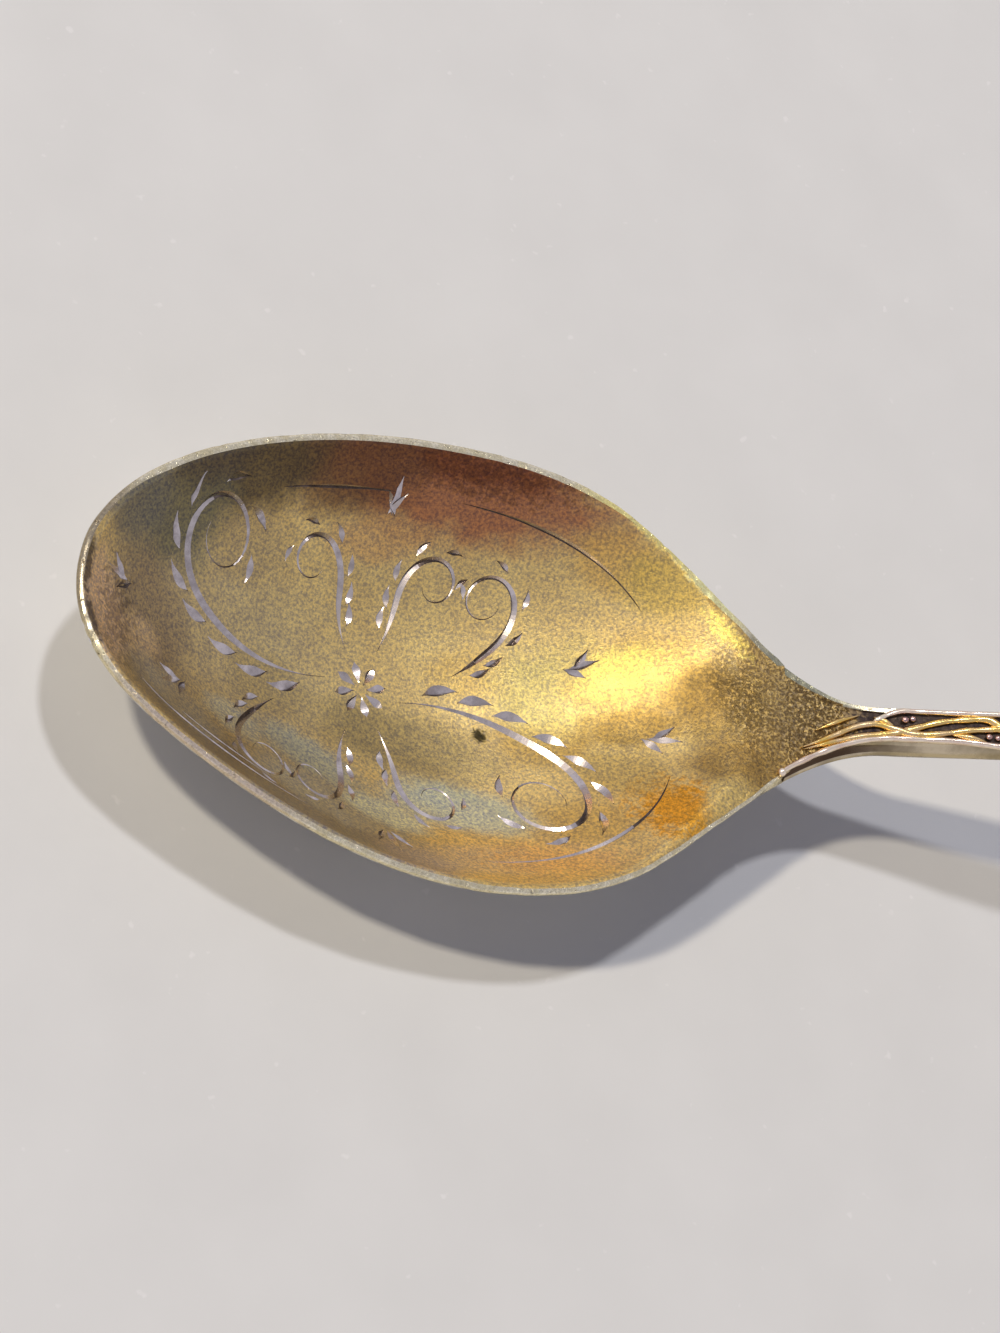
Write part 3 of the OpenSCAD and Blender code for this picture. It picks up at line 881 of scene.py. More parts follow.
    def build(self) -> bmesh.types.BMesh:
        """Builds the shell as one closed surface.

        Returns:
            The mesh: underside, edge, land and the seat under the gilding.
        """
        ring = self.outline()
        count = len(ring)
        edge_row = self.under_steps + 1
        land_row = self.under_steps + len(self.edge)
        rows = land_row + self.land_steps + self.inner_steps

        def place(i: int, j: int) -> Vector:
            """Returns the place of point j of row i, from the underside's middle to the seat's."""
            x, y = ring[j % count]
            if i < edge_row:
                return self.under_place(x, y, i / self.under_steps)
            if i <= land_row:
                return self.edge_place(x, y, i - edge_row)
            if i <= land_row + self.land_steps:
                return self.land_place(x, y, i - land_row)
            return self.seat_place(x, y, 1 - (i - land_row - self.land_steps) / self.inner_steps)

        def slot(i: int, j: int) -> int:
            """Returns the finish of the face after point j of row i."""
            x, y = ring[j % count]
            if i < edge_row:
                return ShellFinish.BACK
            if x > FORM.joint_x - 0.01 and abs(y) < FORM.half(x) - 0.4:
                return ShellFinish.LAND
            return ShellFinish.LAND if i >= land_row + self.rim_rows else ShellFinish.RIM

        return sheet(rows, count, place, slot=slot)

    @staticmethod
    def pitted(x: float, y: float) -> float:
        """Returns the small hills and pits of the plateau at the neck."""
        amount = ease((x - 18.5) / 4)
        return amount * (0.06 * rough(x, y, 0.55, 1.3) + 0.035 * rough(x, y, 0.24, 6.2))

    def finish(self) -> bpy.types.Object:
        """Builds and dresses the shell, and lets it stand for the CAD bowl."""
        made = piece("struck_bowl", self.build(), WORN_GILT.make(), GILT_GROUND.make(),
                     SILVER_BACK.make(), sharp=50)
        return register(made, "bowl")


@dataclass(frozen=True)
class Stroke:
    """One cut of the graver.

    Attributes:
        path: Its places in plan.
        width: Its half-width where it is widest.
        fullest: Share of its length at which it is widest.
        lean: Share of the width by which the graver may be rolled over.
        hair: Half-width that a thin stretch keeps, but for its last ninths.
        flash: Direction of the light for which the graver is rolled.
        full_roll: Half-width from which a cut is rolled fully.
    """

    path: tuple[Plan, ...]
    width: float
    fullest: float = 0.42
    lean: float = 0.72
    hair: float = 0.05
    flash: float = math.radians(221)
    full_roll: float = 0.12

    def swell(self, t: float) -> float:
        """Returns the half-width of the cut at a share of its length."""
        u = t / self.fullest / 2 if t < self.fullest else 1 - (1 - t) / (1 - self.fullest) / 2
        hair = self.hair * min(1.0, 9 * t, 9 * (1 - t)) + 0.01
        return max(self.width * math.sin(math.pi * u) ** 1.5, hair)

    def roll(self, k: int) -> float:
        """Returns how far the graver is rolled to the left at a step, so that the cut flashes."""
        dx, dy = stride(self.path, k)
        side = (dx * math.sin(self.flash) - dy * math.cos(self.flash)) / math.hypot(dx, dy)
        wide = self.swell(k / (len(self.path) - 1))
        return self.lean * wide * min(wide / self.full_roll, 1.0) * min(max(1.6 * side, -1.0), 1.0)


class GildingFinish(IntEnum):
    """The finishes of the gilding's faces, in the order of its materials."""

    SATIN = 0
    BRIGHT = 1
    # Painted shade on the steep side of a cut.
    PAINTED_SHADE = 2


@dataclass
class BowlGilding:
    """The gold lining of the bowl, with a scroll and leaf ornament cut through it by a graver.

    Attributes:
        round_: Steps round it.
        rows: Steps from its middle to its edge.
        back_rows: Steps back under it.
        thick: Its thickness.
        cut_share: Depth of a cut as a share of its half-width.
        clear: How far the graver's wedge stands out of the surface.
        leaf_angle: Angle between a stem and a leaf, in degrees.
        leaf_bend: Angle by which a leaf bends back.
        leaf_gap: Distance of a leaf's root from the stem.
        petal_start: Distance of a petal's root from the flower's middle.
    """

    round_: int = 320
    rows: int = 64
    back_rows: int = 10
    thick: float = 0.3
    cut_share: float = 0.72
    clear: float = 0.07
    leaf_angle: float = 34.0
    leaf_bend: float = 46.0
    leaf_gap: float = 0.16
    petal_start: float = 0.42

    def build(self) -> bmesh.types.BMesh:
        """Builds the lining as one closed surface, before it is engraved."""
        def place(i: int, j: int) -> Vector:
            """Returns the place of point j of row i, from the middle out and back underneath."""
            x, y = FORM.hollow(math.tau * (j % self.round_) / self.round_)
            if i <= self.rows:
                s = (i / self.rows) ** 0.85
                return FORM.rest(x * s, y * s, bowl_top(x * s, y * s))
            s = 1 - (i - self.rows) / self.back_rows
            deep = self.thick * (1 - s ** 8) + 0.008
            return FORM.rest(x * s, y * s, bowl_top(x * s, y * s) - deep)

        return sheet(self.rows + self.back_rows, self.round_, place)

    @staticmethod
    def sprig(x: float, y: float, heading: float, length: float, bend: float, steps: int = 14,
              close: float = 1.0) -> tuple[Plan, ...]:
        """Draws a cut from a place along a heading, bending all the way.

        Args:
            x: Place of the start.
            y: Place of the start.
            heading: Direction of the start, in degrees from X.
            length: Length of the cut.
            bend: Angle that it turns by, in degrees.
            steps: Number of steps.
            close: How much more it bends at its end, where 1 is an even curve.

        Returns:
            The path in plan.
        """
        path, a = [(x, y)], math.radians(heading)
        for i in range(steps):
            x += length / steps * math.cos(a)
            y += length / steps * math.sin(a)
            a += math.radians(bend) / steps * ((i + 0.5) / steps) ** (close - 1) * close
            path.append((x, y))
        return tuple(path)

    def frond(self, stem: Sequence[Plan], width: float, leaves: Sequence[tuple[float, float]],
              length: float) -> Iterable[Stroke]:
        """Draws a stem with leaves that spring from it.

        Args:
            stem: Path of the stem.
            width: Its widest half-width.
            leaves: Share along the stem and side, 1 for left and -1 for right, of each leaf.
            length: Length of the first leaf; the last is about half as long.

        Yields:
            The cuts.
        """
        yield Stroke(tuple(stem), width, 0.36)
        last = len(stem) - 1
        for share, side in leaves:
            k = min(max(int(share * last), 1), last - 1)
            (x, y), (u, v) = stem[k], stem[k + 1]
            way = math.degrees(math.atan2(v - y, u - x))
            off = width * 1.5 + self.leaf_gap
            a = math.radians(way + side * 90)
            size = length * (1 - 0.45 * share)
            leaf = self.sprig(x + off * math.cos(a), y + off * math.sin(a),
                              way + side * self.leaf_angle, size, -side * self.leaf_bend)
            yield Stroke(leaf, 0.17 * size ** 0.8)

    def daisy(self, x: float, y: float, count: int, length: float, first: float) -> Iterable[Stroke]:
        """Yields the drop-shaped petals of a small flower."""
        for k in range(count):
            a = math.radians(first + 360 * k / count)
            petal = self.sprig(x + self.petal_start * math.cos(a), y + self.petal_start * math.sin(a),
                               math.degrees(a), length, 8)
            yield Stroke(petal, 0.3, 0.66)

    def scroll(self, x: float, y: float, heading: float, out: Plan, curl: Plan) -> tuple[Plan, ...]:
        """Draws an S-shaped stem that runs out along one bend and curls up in another.

        Args:
            x: Place of the start.
            y: Place of the start.
            heading: Direction of the start, in degrees from X.
            out: Length and bend of the first part.
            curl: Length and bend of the curl.

        Returns:
            The path in plan.
        """
        first = self.sprig(x, y, heading, out[0], out[1], 18)
        second = self.sprig(*first[-1], heading + out[1], curl[0], curl[1], 46, 1.7)
        return (*first, *second[1:])

    def ornament(self) -> list[Stroke]:
        """Draws the whole ornament: leafy scrolls on both sides of a daisy, sprays and border lines.

        Returns:
            Every cut of the graver.
        """
        cuts = list(self.daisy(0, 0, 8, 1.5, 12))
        outer = [(0.07 + 0.082 * k, 1.0) for k in range(10)]
        inner = [(0.14 + 0.125 * k, -1.0) for k in range(6)]
        for half_turn in (0.0, 180.0):
            c = math.cos(math.radians(half_turn))
            for x, y, heading, out, curl, width, leaves, size in (
                    (-2.6, 0.4, 190, (8.4, -40), (19.0, -450), 0.28, outer, 2.8),
                    (-6.4, -2.0, 214, (2.6, 10), (12.0, 400), 0.23, inner, 1.7),
                    (-1.2, 2.6, 116, (3.2, -22), (9.6, 350), 0.23, inner, 1.7),
                    (1.1, 2.8, 64, (3.4, 20), (9.6, -350), 0.23, [(t, 1.0) for t, _ in inner], 1.7)):
                stem = self.scroll(c * x, c * y, heading + half_turn, out, curl)
                cuts += self.frond(stem, width, leaves, size)
            for x, y, heading in ((-18.6, 1.6, 172), (-14.0, -3.2, 200), (0.2, 10.9, 92)):
                for k in (-1, 0, 1):
                    cuts.append(Stroke(self.sprig(c * x + 0.3 * k, c * y, heading + half_turn + 32 * k,
                                                  2.0 - 0.4 * abs(k), 18 * k), 0.26))
        for first, last, inset, wide in ((198, 252, 2.1, 0.15), (288, 332, 2.2, 0.15),
                                         (296, 320, 3.1, 0.1), (66, 90, 2.2, 0.14),
                                         (104, 152, 2.2, 0.15)):
            turns = [math.radians(first + (last - first) * i / 40) for i in range(41)]
            cuts.append(Stroke(tuple(FORM.egg(t, FORM.rim_w + inset) for t in turns), wide, 0.5))
        return cuts

    def cutter(self, cut: Stroke, into: bmesh.types.BMesh) -> None:
        """Adds the wedge that takes one cut out of the gilding.

        Args:
            cut: The cut.
            into: Mesh that collects the wedges.
        """
        count = len(cut.path) - 1

        def place(i: int, j: int) -> Vector:
            """Returns the place of corner j of the wedge at step i, where both ends are closed."""
            k = held(i - 1, count)
            x, y = cut.path[k]
            up = steep(bowl_top, x, y)
            ahead = Vector((*stride(cut.path, k), 0.0))
            ahead = (ahead - up * ahead.dot(up)).normalized()
            side = up.cross(ahead)
            w, lean = cut.swell(k / count), cut.roll(k)
            d = self.cut_share * w + 0.012
            wide = (d + self.clear) / d
            spots = ((lean, -d), (lean + (w - lean) * wide, self.clear),
                     (lean - (w + lean) * wide, self.clear))
            s, h = spots[j % 3]
            if i in (0, count + 2):
                s, h = 0.0, 0.0
            p = Vector((x, y, bowl_top(x, y))) + side * s + up * h
            return FORM.rest(*p)

        def slot(i: int, j: int) -> int:
            """Returns the finish of side j of the wedge at step i."""
            # The steep side of the wedge, away from the light, gets the painted shade; the others get
            # bright silver.
            dark = 0 if cut.roll(held(i - 1, count)) > 0 else 2
            return GildingFinish.PAINTED_SHADE if j == dark else GildingFinish.BRIGHT

        sheet(count + 2, 3, place, into, slot)

    def finish(self) -> bpy.types.Object:
        """Builds, engraves and dresses the gilding, and lets it stand for the CAD one."""
        made = piece("bowl_gilding", self.build(), SATIN_GILDING.make(), BRIGHT_CUT.make(),
                     CUT_SHADE.make())
        for batch in self.apart(self.ornament()):
            tools = bmesh.new()
            for cut in batch:
                self.cutter(cut, tools)
            combine(made, piece("graver", tools, *made.data.materials), Cut.AWAY)
        self.dress_cuts(made.data)
        return register(made, "gilding")

    def apart(self, cuts: Sequence[Stroke]) -> list[list[Stroke]]:
        """Sorts cuts into batches in which none crosses another."""
        batches: list[list[Stroke]] = []
        for cut in cuts:
            for batch in batches:
                if all(self.clear_of(cut, other) for other in batch):
                    batch.append(cut)
                    break
            else:
                batches.append([cut])
        return batches

    @staticmethod
    def clear_of(a: Stroke, b: Stroke) -> bool:
        """Tells whether two cuts stay apart."""
        gap = (a.width + b.width) * 1.6 + 0.15
        return all((p[0] - q[0]) ** 2 + (p[1] - q[1]) ** 2 > gap * gap for p in a.path for q in b.path)

    @staticmethod
    def dress_cuts(mesh: bpy.types.Mesh) -> None:
        """Shades the cuts flat, and gives the satin round them its true normals."""
        normals: list[Vector] = [Vector((0, 0, 0))] * len(mesh.loops)
        c, s = math.cos(FORM.tilt), math.sin(FORM.tilt)

        def to_rim(p: Vector) -> tuple[float, float, float]:
            """Returns a place in metres on the table as one in millimetres in the rim's frame."""
            x, y, z = (p.x / MM - FORM.shift[0], p.y / MM - FORM.shift[1], p.z / MM - FORM.shift[2])
            return (x * c - z * s, y, x * s + z * c)

        for poly in mesh.polygons:
            x, y, z = to_rim(poly.center)
            poly.use_smooth = poly.material_index == GildingFinish.SATIN
            if poly.use_smooth and bowl_top(x, y) - z < 0.1 and poly.normal.z > 0:
                for loop in poly.loop_indices:
                    vx, vy, _ = to_rim(mesh.vertices[mesh.loops[loop].vertex_index].co)
                    n = steep(bowl_top, vx, vy)
                    normals[loop] = Vector((n.x * c + n.z * s, n.y, n.z * c - n.x * s))
        mesh.normals_split_custom_set([tuple(n) for n in normals])


class BarFinish(IntEnum):
    """The finishes of a bar's faces, in the order of its materials."""

    SIDE = 0
    GROUND = 1
    SKIN = 2
    COVE = 3
    RUBBED = 4


@dataclass
class StemBar:
    """A stem or a terminal: a bar with a sunk face, coved sides at the neck and a round belly.

    Attributes:
        top_steps: Steps across the face.
        side_steps: Steps down each side.
        crowd: How far the steps of a side crowd towards the face.
        sink: Depth of the sunk face.
        ledge: Width of the ledge that is left round it.
        ledge_fall: Width in which the ledge falls to the sunk face.
        bright_edge: Width of the ledge that is finished like the sides.
        strip_end: Where the strip beside the groove ends.
        skin_end: Where the neck's gilt skin gives way to the dark ground.
        cove_band_end: Where the darker band of the cove under the border ends.
        cove_band_rows: First and last of the side's rows that this band covers.
        rubbed_rows: Rows to each side of the far corner that are rubbed at the neck.
    """

    top_steps: int = 30
    side_steps: int = 24
    crowd: float = 2.2
    sink: float = 0.1
    ledge: float = 0.28
    ledge_fall: float = 0.14
    bright_edge: float = 0.16
    strip_end: float = 36.0
    skin_end: float = 31.2
    cove_band_end: float = 60.0
    cove_band_rows: tuple[int, int] = (2, 5)
    rubbed_rows: int = 3

    def section(self, x: float, j: int) -> Plan:
        """Follows the bar's section round from its near top corner.

        Args:
            x: Place along the spoon.
            j: Step round the section.

        Returns:
            The place across the bar and its height.
        """
        w, t, z = FORM.half(x), FORM.thick(x), FORM.face(x)
        b = min(FORM.bevel, w / 2)
        if j <= self.top_steps:
            share = 2 * j / self.top_steps - 1
            w_top = face_edge(x, share)
            y = w_top * share
            wall = ease((w_top - self.ledge - abs(y)) / self.ledge_fall)
            return (y, z - self.sink * wall + self.texture(x, y) * wall)
        j -= self.top_steps
        u = j / self.side_steps
        a = math.pi / 2 * (u ** self.crowd if u < 1 else 2 - (2 - u) ** self.crowd)
        side = math.cos(a)
        fall = (t - b) * max(math.sin(a), 0.0) ** 0.6
        round_in = 1 - math.exp(-fall / 0.12)
        y = math.copysign(abs(side) ** 0.9, side) * w
        deep = b * round_in + fall
        corner = (b * (1 - round_in) + WAIST.at(x, deep, side)) * min(abs(side) * 3, 1.0)
        return (y - math.copysign(corner, side), z - deep)

    def texture(self, x: float, y: float) -> float:
        """Returns the small hills of the sunk face, with a groove on the far side of the neck."""
        hills = 0.045 * rough(x, y, 0.5, 2.2) + 0.03 * rough(x, y, 0.22, 4.4)
        line = self.groove_line(x)
        groove = 0.16 * math.exp(-((y - line) / 0.1) ** 2) * ease((x - 28) / 1.5)
        groove *= ease((self.strip_end - x) / 1.2)
        smooth = 0.8 * ease((y - line) / 0.1) if x < self.strip_end else 0.0
        return hills * (1 - 0.6 * ease((x - 84) / 6)) * (1 - smooth) - groove

    @staticmethod
    def groove_line(x: float) -> float:
        """Returns where the groove runs that parts the far strip of the neck from its face."""
        w = face_edge(x, 1)
        return w - 0.26 - 0.12 * ease((32 - x) / 4)

    def total(self) -> int:
        """Returns the number of steps round the section."""
        return self.top_steps + 2 * self.side_steps

    def bar(self, stations: Sequence[float]) -> bmesh.types.BMesh:
        """Sweeps the section through stations and closes both ends."""
        count = len(stations)

        def place(i: int, j: int) -> Vector:
            """Returns the place of point j of section i, where both ends are closed."""
            x = stations[held(i - 1, count - 1)]
            y, z = self.section(x, j % self.total())
            if i in (0, count + 1):
                y, z = 0.0, FORM.face(x) - FORM.thick(x) / 2
            return FORM.rest(x, y, z)

        def slot(i: int, j: int) -> int:
            """Returns the finish of the face after point j of section i."""
            x = stations[held(i - 1, count - 1)]
            at_neck = x < self.strip_end
            across, w = 2 * (j + 0.5) / self.top_steps - 1, face_edge(x, 1)
            if abs(across) < 1 and abs(across) * w < w - self.bright_edge:
                if at_neck and across * w > self.groove_line(x):
                    return BarFinish.RUBBED
                mixed = x + 1.4 * rough(x, 3 * abs(across), 0.6, 9.1)
                return BarFinish.GROUND if mixed > self.skin_end else BarFinish.SKIN
            if at_neck and abs(j - self.top_steps) < self.rubbed_rows:
                return BarFinish.RUBBED
            down = min(j - self.top_steps, self.total() - 1 - j)
            in_cove_band = x < self.cove_band_end and self.cove_band_rows[0] <= down <= self.cove_band_rows[1]
            return BarFinish.COVE if in_cove_band else BarFinish.SIDE

        return sheet(count + 1, self.total(), place, slot=slot)


@dataclass
class Lap:
    """The lap under the bowl: a long drop that fits the bowl's underside and ends in the stem.

    Attributes:
        rows: Steps along it.
        round_: Steps round it.
        into_stem: How far it reaches into the stem.
        width_share: Its half-width as a share of the joint's.
        waist_share: How much narrower it is at the joint.
        sunk: How far its top sinks into the bowl.
        keel_room: How far it stays above the stem's underside.
    """

    rows: int = 70
    round_: int = 36
    into_stem: float = 1.2
    width_share: float = 0.8
    waist_share: float = 0.25
    sunk: float = 0.05
    keel_room: float = 0.15

    def half(self, x: float, share: float) -> float:
        """Returns its half-width at a place and at its share of the length."""
        drop = math.sqrt(1 - (1 - min(share, 1)) ** 2)
        w = (FORM.half(FORM.joint_x) - 0.5) * drop * self.width_share
        return w * (1 - self.waist_share * ease((x - 24) / 4))

    def build(self) -> bmesh.types.BMesh:
        """Builds the lap as one closed surface."""
        length = FORM.joint_x + self.into_stem - FORM.lap_x
        flat = self.round_ / 2

        def place(i: int, j: int) -> Vector:
            """Returns the place of point j of row i, where both ends are closed."""
            share = ((i + 0.5) / self.rows) ** 1.6 if 0 < i < self.rows else i / self.rows
            x = FORM.lap_x + length * share
            if i == self.rows:
                return FORM.rest(x, 0.0, FORM.face(x) - FORM.neck_t / 2)
            w = self.half(x, share)
            turn = math.pi * (j - flat) / flat
            y = -w + 2 * w * j / flat if j <= flat else w * math.cos(turn)
            seat = bowl_under(min(x, FORM.joint_x), y)
            if j % self.round_ <= flat:
                return FORM.rest(x, y, seat + self.sunk)
            low = bowl_under(min(x, FORM.joint_x), 0.0) - FORM.lap_t * min(share * 6, 1) ** 0.5
            low = lower(low, FORM.face(x) - FORM.neck_t + self.keel_room, 0.8)
            arch = math.sin(turn) ** 0.7
            return FORM.rest(x, y, seat + self.sunk + (low - seat - self.sunk) * arch)

        return sheet(self.rows, self.round_, place)


@dataclass
class Stem(StemBar):
    """The stem with its lap, soldered to the bowl's shoulders."""

    steps: int = 380

    def finish(self) -> bpy.types.Object:
        """Builds and dresses the stem, and lets it stand for the CAD one."""
        reach = FORM.terminal_x - FORM.joint_x
        xs = [FORM.joint_x + reach * (i / self.steps) ** 1.25 for i in range(self.steps + 1)]
        made = piece("lapped_stem", self.bar(xs), SIDE_SILVER.make(), OXIDISED_GROUND.make(),
                     GILT_GROUND.make(), COVE_SILVER.make(), WORN_GILT.make())
        combine(made, piece("lap", Lap().build(), *made.data.materials), Cut.JOIN)
        return register(made, "stem")


@dataclass
class Terminal(StemBar):
    """The flat swelling end of the handle, whose last steps turn by cap_turn degrees."""

    top_steps: int = 56
    swell_steps: int = 110
    cap_steps: int = 44
    cap_turn: float = 89.2

    def finish(self) -> bpy.types.Object:
        """Builds and dresses the terminal, and lets it stand for the CAD one."""
        reach = FORM.belly_x - FORM.terminal_x
        xs = [FORM.terminal_x + reach * i / self.swell_steps for i in range(self.swell_steps)]
        end = FORM.end_x - FORM.belly_x
        xs += [FORM.belly_x + end * math.sin(math.radians(self.cap_turn) * i / self.cap_steps)
               for i in range(self.cap_steps + 1)]
        made = piece("spoon_terminal", self.bar(xs), SIDE_SILVER.make(), MATTED_GROUND.make())
        return register(made, "terminal")


@dataclass(frozen=True)
class Wire:
    """A half-round wire on the face.

    Attributes:
        path: Its places in plan.
        width: Its full width.
        height: Its height over the face.
        start: Share of its length in which it thickens from a point.
        finish: Share of its length in which it thins to a point.
        wander: How uneven its thickness is.
        round_: Steps round it.
        point: Share of its width that a pointed end keeps.
        foot: How deep it sits in the face.
    """

    path: tuple[Plan, ...]
    width: float
    height: float
    start: float = 0.15
    finish: float = 0.15
    wander: float = 0.0
    round_: int = 14
    point: float = 0.12
    foot: float = 0.16

    def build(self, into: bmesh.types.BMesh) -> None:
        """Adds the wire to a mesh."""
        count = len(self.path) - 1

        def place(i: int, j: int) -> Vector:
            """Returns the place of point j of the wire's section at step i, with both ends closed."""
            k = held(i - 1, count)
            x, y = self.path[k]
            ahead = Vector((*stride(self.path, k), 0)).normalized()
            t = k / count
            thin = min(1.0, (t / self.start) ** 0.6 if t < self.start else 1.0,
                       ((1 - t) / self.finish) ** 0.6 if 1 - t < self.finish else 1.0)
            thin = max(thin, self.point)
            uneven = 1 + self.wander * rough(x, y, 0.9, 7.7)
            w, h = self.width / 2 * thin * uneven, self.height * (0.35 + 0.65 * thin) * uneven
            a = math.tau * (j % self.round_) / self.round_
            s = w * math.cos(a)
            up = (h if a <= math.pi else self.foot) * math.sin(a)
            if i in (0, count + 2):
                s, up = 0.0, 0.05
            return FORM.on_face(x - ahead.y * s, y + ahead.x * s, up)

        sheet(count + 2, self.round_, place, into)


@dataclass
class Borders:
    """The two raised border wires, which meet at the handle's end.

    Attributes:
        width: Full width of each.
        height: Height over the face.
        inset: Distance of the middle line from the edge of the face.
        bead: Diameter of the bead at the near border's start.
        near_x: Where the near border starts.
        steps: Steps to the terminal's widest place.
        crowd: How far these steps crowd towards the start.
        far_lead: Places at which the far border comes in over the face.
        far_x: Where the far border reaches the edge.
        lead_steps: Steps between two of its lead's places.
        run_in: Step of the border that the lead's curve aims for.
        end_steps: Steps round the handle's end.
        end_turn: Angle of that turn in degrees, just short of a quarter.
    """

    width: float = 0.42
    height: float = 0.34
    inset: float = 0.2
    bead: float = 0.6
    near_x: float = 26.3
    steps: int = 300
    crowd: float = 1.5
    far_lead: tuple[Plan, ...] = ((32.9, 0.36), (33.4, 0.62), (34.1, 0.98), (34.9, 1.2))
    far_x: float = 36.0
    lead_steps: int = 8
    run_in: int = 40
    end_steps: int = 48
    end_turn: float = 89.7

    def path(self, x: float, lead: Sequence[Plan], side: float) -> tuple[Plan, ...]:
        """Returns a border's path.

        Args:
            x: Where the border reaches the edge of the face.
            lead: Places that it passes before.
            side: 1 for the far border and -1 for the near one.

        Returns:
            The places along it, to the handle's end.
        """
        run = [x + (FORM.belly_x - x) * (i / self.steps) ** self.crowd for i in range(self.steps)]
        line = [(u, side * (face_edge(u, side) - self.inset)) for u in run]
        if lead:
            knots = [*lead, line[0], line[self.run_in]]
            line = spline(knots, self.lead_steps)[:-self.lead_steps - 1] + line
        wide, reach = FORM.terminal_w / 2, FORM.end_x - FORM.belly_x
        inset = FORM.bevel + self.inset
        for i in range(self.end_steps + 1):
            a = math.radians(self.end_turn) * i / self.end_steps
            line.append((FORM.belly_x + (reach - inset) * math.sin(a),
                         side * (wide - inset) * math.cos(a)))
        return tuple(line)

    def finish(self) -> list[bpy.types.Object]:
        """Builds and dresses both borders, and lets them stand for the CAD ones."""
        bright = BRIGHT_BORDER.make()
        made = []
        for name, node, x, lead, side in (
                ("near_border", "border_near", self.near_x, (), -1.0),
                ("far_border", "border_far", self.far_x, self.far_lead, 1.0)):
            bm = bmesh.new()
            line = self.path(x, lead, side)
            Wire(line, self.width, self.height, 0.01, 0.002, 0.25).build(bm)
            if not lead:
                ball(bm, FORM.on_face(*line[0], 0.12), self.bead / 2)
            made.append(register(piece(name, bm, bright, sharp=70), node))
        return made


@dataclass
class Vine:
    """Two strands that cross along the stem, with a leaf and a pair of buds in each opening.

    Attributes:
        first: Where the strands' even waves would cross first.
        pitch: Distance between two crossings.
        count: Number of the last crossing.
        swing: How far a strand swings from the middle line.
        over: Places at the neck of the strand that starts out on top.
        beneath: Places at the neck of the other one.
        sharp: Angle in degrees from which an edge is sharp.
    """

    first: float = 34.3
    pitch: float = 8.0
    count: int = 8
    swing: float = 0.78
    over: tuple[Plan, ...] = ((27.9, -1.98), (29.3, -1.32), (30.5, -0.72), (31.4, -0.25), (32.3, 0.06),
                              (33.2, 0.16), (34.3, -0.12), (35.2, -0.4), (36.4, -0.42), (37.6, -0.25),
                              (38.8, -0.02), (40.2, 0.12))
    beneath: tuple[Plan, ...] = ((28.0, -2.1), (29.8, -1.45), (31.6, -0.88), (33.0, -0.62),
                                 (34.3, -0.38), (35.8, 0.08), (36.8, 0.42), (37.8, 0.64),
                                 (39.0, 0.8), (40.4, 0.82))
    sharp: float = 70.0

    def crossing(self, k: int) -> float:
        """Returns the place of a crossing along the stem."""
        return self.first + self.pitch * k

    def strand(self, knots: Sequence[Plan], side: float) -> tuple[Plan, ...]:
        """Runs a strand through its knots at the neck, then from side to side up the stem.

        Args:
            knots: Its places at the neck.
            side: 1 or -1, for the side to which it swings first.

        Returns:
            The places along it.
        """
        line = list(knots)
        x = self.crossing(1) - 0.6
        end = self.crossing(self.count)
        while x < end - 0.4:
            t = (x - self.first) / self.pitch
            widen = 1 + 0.25 * ease((x - 80) / 20)
            line.append((x, side * self.swing * math.sin(math.pi * t) * widen))
            x += 1.0
        line.append((end, 0.0))
        return tuple(spline(line, 5))

    def leaves(self) -> Iterable[tuple[Plan, Plan, float]]:
        """Yields each leaf's root, its tip and its width."""
        yield ((28.9, -0.66), (32.0, 0.7), 0.36)
        yield ((34.4, -0.1), (33.0, 0.66), 0.5)
        yield ((38.0, -0.36), (40.1, -0.78), 0.48)
        for k in range(1, self.count):
            x, side = self.crossing(k), (-1) ** k
            yield ((x, 0.0), (x - 1.3, side * 0.62), 0.46)
            yield ((x + 3.4, -side * 0.3), (x + 5.4, -side * 0.74), 0.46)

    def buds(self) -> Iterable[tuple[float, float, float]]:
        """Yields each bud's place and diameter."""
        yield from ((35.0, 0.58, 0.5), (35.5, 0.66, 0.42), (40.3, -0.4, 0.46), (40.85, -0.46, 0.42))
        for k in range(1, self.count):
            x, side = self.crossing(k), (-1) ** k
            yield (x + 0.85, side * 0.55, 0.46)
            yield (x + 1.35, side * 0.62, 0.4)
            if k < self.count - 1:
                yield (x + 6.0, -side * 0.42, 0.44)

    def finish(self) -> list[bpy.types.Object]:
        """Builds and dresses the vine and its buds, and lets them stand for the CAD ones."""
        strands = bmesh.new()
        Wire(self.strand(self.over, 1.0), 0.48, 0.3, 0.03, 0.02, 0.3).build(strands)
        vine = piece("vine_strands", strands, VINE_GILT.make(), sharp=self.sharp)
        parts = bmesh.new()
        Wire(self.strand(self.beneath, -1.0), 0.5, 0.26, 0.03, 0.02, 0.3).build(parts)
        combine(vine, piece("strand", parts), Cut.JOIN)
        for root, tip, width in self.leaves():
            parts = bmesh.new()
            middle = ((root[0] + tip[0]) / 2, (root[1] + tip[1]) / 2 + 0.08)
            Wire(tuple(spline((root, middle, tip), 6)), width, 0.3, 0.5, 0.5, 0.2).build(parts)
            combine(vine, piece("leaf", parts), Cut.JOIN)
        for poly in vine.data.polygons:
            poly.use_smooth = True
        vine.data.set_sharp_from_angle(angle=math.radians(self.sharp))
        balls = bmesh.new()
        for x, y, d in self.buds():
            ball(balls, FORM.on_face(x, y, 0.1), d / 2, (1.15, 0.95, 0.85))
        buds = piece("vine_buds", balls, BUD_SILVER.make())
        return [register(vine, "vine"), register(buds, "buds")]


